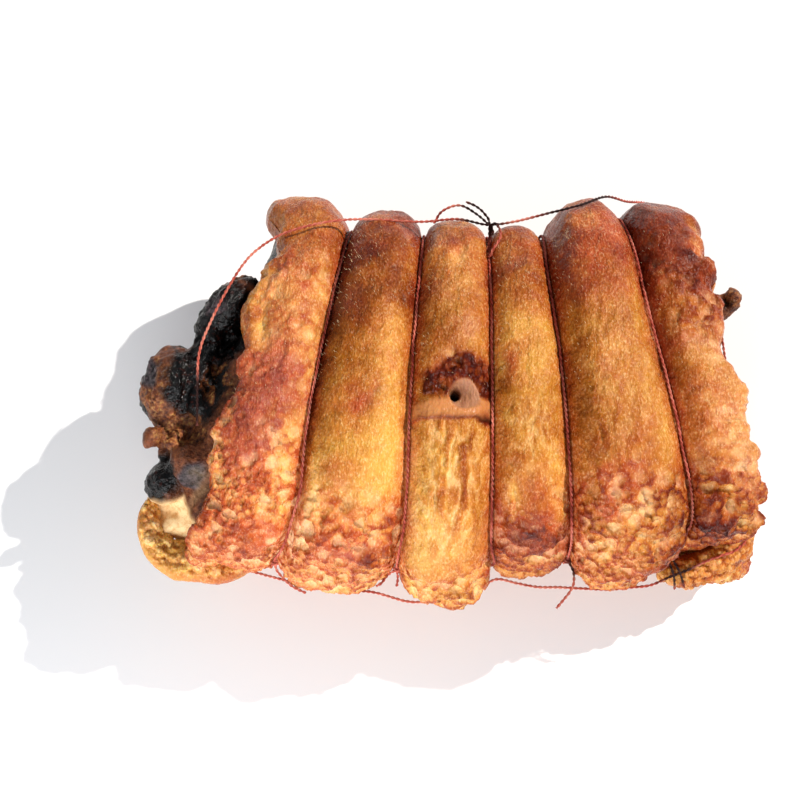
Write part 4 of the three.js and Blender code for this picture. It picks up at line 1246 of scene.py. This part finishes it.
def meat_material(colours):
    """Roast pork, burnt at its end: brown fibres, black glassy char, gold crumbs and soft pale fat.

    The eye gets near black with sharp oily glints, broken by warm crumbs, and duller cream fat.
    """
    material, tree = new_material("charred_roast_pork")
    place = add_node(tree, "ShaderNodeTexCoord").outputs["Object"]
    read = {name: add_node(tree, "ShaderNodeAttribute", {"attribute_name": name}).outputs["Fac"]
            for name in MEAT_VALUES}
    fibre = add_node(tree, "ShaderNodeTexNoise", {"Scale": per_metre(2.2), "Detail": 4.0, "Roughness": 0.65},
                     {"Vector": place}).outputs["Fac"]
    colour = add_node(tree, "ShaderNodeValToRGB", {"stops": (
        (0.30, colours.meat_dark), (0.52, colours.meat), (0.72, colours.meat_light))}, {0: fibre}).outputs[0]
    crumbs = add_node(tree, "ShaderNodeValToRGB", {"stops": (
        (0.34, colours.crumb_dark), (0.52, colours.crumb), (0.70, colours.crumb_light))},
        {0: fibre}).outputs[0]
    fat = add_node(tree, "ShaderNodeValToRGB", {"stops": (
        (0.30, colours.fat_shade), (0.55, colours.fat))}, {0: fibre}).outputs[0]
    ashen = add_node(tree, "ShaderNodeValToRGB", {"stops": (
        (0.35, colours.char), (0.65, colours.ash))}, {0: fibre}).outputs[0]
    char = add_node(tree, "ShaderNodeValToRGB", {"stops": (
        (0.55, colours.char), (0.75, colours.char_brown))}, {0: fibre}).outputs[0]
    for name, over in (("crumb", crumbs), ("char", char), ("ashen", ashen), ("fat", fat), ("crevice", char)):
        amount = 0.55 if name == "crevice" else 1.0
        share = add_node(tree, "ShaderNodeMath", {"operation": "MULTIPLY", 1: amount}, {0: read[name]})
        # Crevices darken towards the char colour, everywhere but in the fat.
        if name == "crevice":
            dry = add_node(tree, "ShaderNodeMath", {"operation": "SUBTRACT", 0: 1.0, "use_clamp": True},
                           {1: read["fat"]})
            share = add_node(tree, "ShaderNodeMath", {"operation": "MULTIPLY"},
                             {0: share.outputs[0], 1: dry.outputs[0]})
        colour = add_node(tree, "ShaderNodeMix", {"data_type": "RGBA"}, {
            MIX_FACTOR: share.outputs[0], MIX_A: colour, MIX_B: over}).outputs[MIX_OUT]
    roughness = add_node(tree, "ShaderNodeMapRange", {"To Min": 0.48, "To Max": 0.10},
                         {"Value": read["gloss"]})
    dull = add_node(tree, "ShaderNodeMath", {"operation": "MULTIPLY_ADD", 1: 0.2, "use_clamp": True},
                    {0: read["fat"], 2: roughness.outputs[0]})
    grain = add_node(tree, "ShaderNodeTexNoise", {"Scale": per_metre(1.4), "Detail": 4.0}, {"Vector": place})
    lean = add_node(tree, "ShaderNodeMath", {"operation": "MULTIPLY_ADD", 1: -0.8, 2: 1.0}, {0: read["fat"]})
    rugged = add_node(tree, "ShaderNodeMath", {"operation": "MULTIPLY"},
                      {0: grain.outputs["Fac"], 1: lean.outputs[0]})
    bumps = add_node(tree, "ShaderNodeBump", {"Strength": 1.0, "Distance": 0.0010},
                     {"Height": rugged.outputs[0]})
    shader = add_node(tree, "ShaderNodeBsdfPrincipled", {"IOR": 1.46, "Specular IOR Level": 0.28},
                      {"Base Color": colour, "Roughness": dull.outputs[0], "Normal": bumps.outputs[0]})
    add_node(tree, "ShaderNodeOutputMaterial", links={"Surface": shader.outputs[0]})
    return material


def twine_material(colours):
    """Cotton kitchen twine: two plies twisted together, stained by fat and juices and burnt in places.

    The eye gets a dull red brown, one ply slightly paler than the other, and black where it burnt.
    """
    material, tree = new_material("stained_cotton_twine")
    place = add_node(tree, "ShaderNodeTexCoord").outputs["Object"]
    ply = add_node(tree, "ShaderNodeAttribute", {"attribute_name": "ply"}).outputs["Fac"]
    scorch = add_node(tree, "ShaderNodeAttribute", {"attribute_name": "scorch"}).outputs["Fac"]
    stain = add_node(tree, "ShaderNodeTexNoise", {"Scale": per_metre(14), "Detail": 3.0}, {"Vector": place})
    shifted = add_node(tree, "ShaderNodeMath", {"operation": "MULTIPLY_ADD", 1: 0.10},
                       {0: ply, 2: stain.outputs["Fac"]})
    colour = add_node(tree, "ShaderNodeValToRGB", {"stops": (
        (0.32, colours.twine_dark), (0.50, colours.twine), (0.68, colours.twine_light))},
        {0: shifted.outputs[0]})
    burnt = add_node(tree, "ShaderNodeMix", {"data_type": "RGBA", MIX_B: colours.twine_burnt},
                     {MIX_FACTOR: scorch, MIX_A: colour.outputs[0]})
    # Single fibres are about 0.02 mm. They are drawn ten times as coarse, so that they show.
    fibres = add_node(tree, "ShaderNodeTexNoise", {"Scale": per_metre(0.2), "Detail": 2.0},
                      {"Vector": place})
    bumps = add_node(tree, "ShaderNodeBump", {"Strength": 0.7, "Distance": 0.0002},
                     {"Height": fibres.outputs["Fac"]})
    shader = add_node(tree, "ShaderNodeBsdfPrincipled", {
        "IOR": 1.5, "Roughness": 0.62, "Specular IOR Level": 0.2,
    }, {"Base Color": burnt.outputs[MIX_OUT], "Normal": bumps.outputs[0]})
    add_node(tree, "ShaderNodeOutputMaterial", links={"Surface": shader.outputs[0]})
    return material


def bristle_material(colours):
    """Pig bristle, grown horn that was singed in the oven: pale and glassy, a little darker in places."""
    material, tree = new_material("singed_bristle")
    place = add_node(tree, "ShaderNodeTexCoord").outputs["Object"]
    varied = add_node(tree, "ShaderNodeTexNoise", {"Scale": per_metre(3)}, {"Vector": place})
    colour = add_node(tree, "ShaderNodeValToRGB", {"stops": (
        (0.35, colours.bristle_dark), (0.6, colours.bristle))}, {0: varied.outputs["Fac"]})
    shader = add_node(tree, "ShaderNodeBsdfPrincipled", {"IOR": 1.55, "Roughness": 0.3},
                      {"Base Color": colour.outputs[0]})
    add_node(tree, "ShaderNodeOutputMaterial", links={"Surface": shader.outputs[0]})
    return material


def floor_material(colours):
    """Matt white board: painted, even, with no gloss."""
    material, tree = new_material("matt_white_board")
    shader = add_node(tree, "ShaderNodeBsdfPrincipled", {
        "Base Color": colours.floor, "Roughness": 0.9, "Specular IOR Level": 0.2,
    })
    add_node(tree, "ShaderNodeOutputMaterial", links={"Surface": shader.outputs[0]})
    return material


# ---------------------------------------------------------------- properties

def colour_property(name, code, description):
    """A colour that the user can change, with its default as an sRGB hex code."""
    return FloatVectorProperty(name=name, description=description, subtype="COLOR", size=4, min=0, max=1,
                               default=from_hex(code))


class PorchettaSizes(bpy.types.PropertyGroup):
    """The sizes of the crackling's relief, the twine and the bristles, and how fine the meshes are"""
    mesh_step: FloatProperty(name="Mesh step", description="Distance between points of the crackling above",
                             default=0.00068, unit="LENGTH")
    under_step: FloatProperty(name="Under step",
                              description="Distance between points of the crackling at the back and below",
                              default=0.0018, unit="LENGTH")
    blister_height: FloatProperty(name="Blister height", description="Height of a full blister",
                                  default=0.0029, unit="LENGTH")
    wrinkle_height: FloatProperty(name="Wrinkle height", description="Height of the long wrinkles",
                                  default=0.0014, unit="LENGTH")
    meat_step: FloatProperty(name="Meat step", description="Distance between points of the charred meat",
                             default=0.0011, unit="LENGTH")
    twine_diameter: FloatProperty(name="Twine", description="Diameter of the twine",
                                  default=0.0015, unit="LENGTH")
    twist_length: FloatProperty(name="Twist", description="Length of one turn of the twine's plies",
                                default=0.0048, unit="LENGTH")
    bristle_length: FloatProperty(name="Bristle", description="Length of a singed bristle",
                                  default=0.0015, unit="LENGTH")
    bristle_width: FloatProperty(name="Bristle width",
                                 description="Width of a bristle, drawn coarse to show",
                                 default=0.00017, unit="LENGTH")
    bristles: IntProperty(name="Bristles", description="How many bristles stand in the skin", default=1100)


class PorchettaColours(bpy.types.PropertyGroup):
    """The colours that the materials mix"""
    # Painted glints: cream flecks on the grain that stand for small highlights.
    painted_glint: colour_property("Pearl", "#FADCA8", "Dry flakes on the grain of the crackling")
    gold_palest: colour_property("Gold, palest", "#F4C47A", "Barely coloured crackling")
    gold_light: colour_property("Gold, light", "#DAA24C", "Light golden crackling")
    gold_middle: colour_property("Gold, middle", "#BF8030", "Golden crackling")
    gold_brown: colour_property("Gold, brown", "#9C5912", "Amber crackling")
    gold_dark: colour_property("Gold, dark", "#663006", "Brown crackling")
    gold_burnt: colour_property("Gold, burnt", "#3A1406", "Overdone crackling")
    red_palest: colour_property("Red, palest", "#F0B486", "Barely coloured, rosy crackling")
    red_light: colour_property("Red, light", "#D07848", "Light rosy crackling")
    red_middle: colour_property("Red, middle", "#AC4C24", "Rosy crackling")
    red_brown: colour_property("Red, brown", "#863214", "Red brown crackling")
    red_dark: colour_property("Red, dark", "#581808", "Dark red brown crackling")
    red_burnt: colour_property("Red, burnt", "#320A05", "Overdone, red crackling")
    # Also used for painted sheen: grey-purple glossy patches on the lobes.
    bruise: colour_property("Bruise", "#93595A", "Purple grey marks in the skin")
    band: colour_property("Band", "#C07E4C", "The smooth skin across the hole")
    hole_wall: colour_property("Hole wall", "#B07C5E", "The hole's wall")
    # Also paints the crackling's hole opening black, as painted shade.
    char: colour_property("Char", "#060505", "Burnt black")
    char_brown: colour_property("Char, brown", "#3A130B", "Burnt dark brown")
    ash: colour_property("Ash", "#6E5E62", "Grey purple burnt meat")
    meat: colour_property("Meat", "#8C4C2A", "Roast meat")
    meat_dark: colour_property("Meat, dark", "#682E18", "Dark fibres of roast meat")
    meat_light: colour_property("Meat, light", "#AC6A3E", "Light fibres of roast meat")
    crumb: colour_property("Crumb", "#A05A30", "Toasted crumbs of meat")
    crumb_dark: colour_property("Crumb, dark", "#4C1A12", "Dark toasted crumbs")
    crumb_light: colour_property("Crumb, light", "#DCA65E", "Light toasted crumbs")
    fat: colour_property("Fat", "#F2D09A", "Soft pale fat")
    fat_shade: colour_property("Fat, shade", "#D09A5C", "Streaks in the fat")
    twine: colour_property("Twine", "#B24E3E", "Stained twine")
    twine_dark: colour_property("Twine, dark", "#7E2C22", "Darkly stained twine")
    twine_burnt: colour_property("Twine, burnt", "#280E0A", "Blackened twine")
    twine_light: colour_property("Twine, light", "#D07C68", "Lightly stained twine")
    bristle: colour_property("Bristle", "#F6DDB4", "Bristles")
    bristle_dark: colour_property("Bristle, dark", "#D8A868", "Darker bristles")
    floor: colour_property("Floor", "#F4F2F2", "The board that the roast lies on")


# ---------------------------------------------------------------- operators

class PORCHETTA_OT_crackling(bpy.types.Operator):
    """Make the six lobes of crackling, the curled corner and the low flap"""
    bl_idname = "porchetta.crackling"
    bl_label = "Crackling"

    def execute(self, context):
        sizes = context.scene.porchetta_sizes
        material = crackling_material(context.scene.porchetta_colours)
        for lobe in range(LOBES):
            make_lobe(lobe, sizes, material)
        make_roll("crackling_curled_corner", CORNER_ROLL, 211, sizes, material)
        make_roll("crackling_low_flap", FLAP_ROLL, 231, sizes, material)
        return {"FINISHED"}


class PORCHETTA_OT_meat(bpy.types.Operator):
    """Make the meat: its charred left end, its middle and its right end"""
    bl_idname = "porchetta.meat"
    bl_label = "Meat"

    def execute(self, context):
        sizes = context.scene.porchetta_sizes
        material = meat_material(context.scene.porchetta_colours)
        make_meat_end("meat_charred_end", None, MEAT_CUT_LEFT, sizes.meat_step, SCRAPS, material)
        make_meat_middle(material)
        make_meat_end("meat_right_end", MEAT_CUT_RIGHT, None, SMOOTHER_END * sizes.meat_step, (), material)
        return {"FINISHED"}


class PORCHETTA_OT_twine(bpy.types.Operator):
    """Make the five ties with their knots and loose ends, and the long twine"""
    bl_idname = "porchetta.twine"
    bl_label = "Twine"

    def execute(self, context):
        sizes = context.scene.porchetta_sizes
        material = twine_material(context.scene.porchetta_colours)
        step = 0.5 * sizes.twine_diameter / MM
        for number, (knot_angle, tails) in enumerate(TIES, 1):
            ring = tie_line(number, sizes)
            walked = np.cumsum(np.linalg.norm(np.diff(ring, axis=0), axis=1))
            places = np.linspace(0, walked[-1], math.ceil(walked[-1] / step))
            known = np.concatenate([[0], walked])
            ring = np.stack([np.interp(places, known, ring[:, axis]) for axis in range(3)], -1)
            nearest = np.argmin(np.abs(np.linspace(0, 360, len(ring)) - knot_angle))
            knot = ring[nearest] * (1, KNOT_STANDS_OUT, 1.0)
            lines = [(ring, (1, 0, 0), True), (knot_line(knot, KNOT_SIZE), (0.3, 0.2, 1), False)]
            for tail in tails:
                lines.append((resampled((knot,) + tail, step)[0], (0.2, 0.1, 1), False))
            make_twine(f"tie_{number}_twine", lines, f"tie_{number}", sizes, material)
        lines = [(resampled(LONG_TWINE, step)[0], (0, 0, 1), False)]
        make_twine("long_twine_run", lines, "long_twine", sizes, material)
        return {"FINISHED"}


class PORCHETTA_OT_bristles(bpy.types.Operator):
    """Stand singed bristles in the crackling that is already made"""
    bl_idname = "porchetta.bristles"
    bl_label = "Bristles"

    def execute(self, context):
        make_bristles(context.scene.porchetta_sizes, bristle_material(context.scene.porchetta_colours))
        return {"FINISHED"}


# Angles in degrees, lengths in metres, the lens and its sensor in millimetres.
CAMERA = {
    "elevation": 75.0,
    "distance": 0.80,
    "lens": 74.88,
    "sensor": 36.0,
    "target": (-0.02392, 0.00087, 0.060),
}
SUN = {"elevation": 41.5, "azimuth": 27.5, "strength": 4.5, "spread": 1.0, "colour": (1.0, 0.96, 0.90)}
SKY = {"colour": (0.86, 0.93, 1.0), "strength": 0.32}
BOARD_HALF = 3.0
FILL = {"place": (-0.22, -0.70, 0.40), "size": 0.5, "power": 7.8, "colour": (0.96, 0.98, 1.0)}


class PORCHETTA_OT_stage(bpy.types.Operator):
    """Make the board, the lights and the camera"""
    bl_idname = "porchetta.stage"
    bl_label = "Stage"

    def execute(self, context):
        scene = context.scene
        mesh = bpy.data.meshes.new("board")
        corners = [(x * BOARD_HALF, y * BOARD_HALF, 0) for x, y in ((-1, -1), (1, -1), (1, 1), (-1, 1))]
        mesh.from_pydata(corners, [], [(0, 1, 2, 3)])
        board = bpy.data.objects.new("board", mesh)
        board.data.materials.append(floor_material(scene.porchetta_colours))
        scene.collection.objects.link(board)

        sun = bpy.data.lights.new("sun", "SUN")
        sun.energy = SUN["strength"]
        sun.angle = math.radians(SUN["spread"])
        sun.color = SUN["colour"]
        lamp = bpy.data.objects.new("sun", sun)
        up, turn = math.radians(SUN["elevation"]), math.radians(SUN["azimuth"])
        towards = Vector((math.cos(up) * math.cos(turn), math.cos(up) * math.sin(turn), math.sin(up)))
        lamp.rotation_euler = towards.to_track_quat("Z", "Y").to_euler()
        scene.collection.objects.link(lamp)

        soft = bpy.data.lights.new("fill", "AREA")
        soft.energy = FILL["power"]
        soft.size = FILL["size"]
        soft.color = FILL["colour"]
        fill = bpy.data.objects.new("fill", soft)
        fill.location = FILL["place"]
        fill.rotation_euler = Vector(FILL["place"]).to_track_quat("Z", "Y").to_euler()
        scene.collection.objects.link(fill)

        world = bpy.data.worlds.new("soft_sky")
        world.use_nodes = True
        background = world.node_tree.nodes["Background"]
        background.inputs["Color"].default_value = (*SKY["colour"], 1)
        background.inputs["Strength"].default_value = SKY["strength"]
        scene.world = world
        scene.view_settings.view_transform = "Standard"

        lens = bpy.data.cameras.new("camera")
        lens.lens = CAMERA["lens"]
        lens.sensor_width = CAMERA["sensor"]
        camera = bpy.data.objects.new("camera", lens)
        lift = math.radians(CAMERA["elevation"])
        back = Vector((0, -math.cos(lift), math.sin(lift)))
        camera.location = Vector(CAMERA["target"]) + back * CAMERA["distance"]
        camera.rotation_euler = back.to_track_quat("Z", "Y").to_euler()
        scene.collection.objects.link(camera)
        scene.camera = camera
        return {"FINISHED"}


OPERATORS = (
    PORCHETTA_OT_crackling, PORCHETTA_OT_meat, PORCHETTA_OT_twine, PORCHETTA_OT_bristles, PORCHETTA_OT_stage,
)


class PORCHETTA_PT_panel(bpy.types.Panel):
    """The porchetta's sizes, colours and makers"""
    bl_label = "Porchetta"
    bl_idname = "PORCHETTA_PT_panel"
    bl_space_type = "VIEW_3D"
    bl_region_type = "UI"
    bl_category = "Porchetta"

    def draw(self, context):
        for group in (context.scene.porchetta_sizes, context.scene.porchetta_colours):
            for name in group.__annotations__:
                self.layout.prop(group, name)
        for operator in OPERATORS:
            self.layout.operator(operator.bl_idname)


CLASSES = (PorchettaSizes, PorchettaColours, *OPERATORS, PORCHETTA_PT_panel)


def register():
    for cls in CLASSES:
        bpy.utils.register_class(cls)
    bpy.types.Scene.porchetta_sizes = PointerProperty(type=PorchettaSizes)
    bpy.types.Scene.porchetta_colours = PointerProperty(type=PorchettaColours)


def unregister():
    del bpy.types.Scene.porchetta_colours
    del bpy.types.Scene.porchetta_sizes
    for cls in reversed(CLASSES):
        bpy.utils.unregister_class(cls)


def main():
    register()
    bpy.ops.porchetta.crackling()
    bpy.ops.porchetta.meat()
    bpy.ops.porchetta.twine()
    bpy.ops.porchetta.bristles()
    bpy.ops.porchetta.stage()


if __name__ == "__main__":
    main()
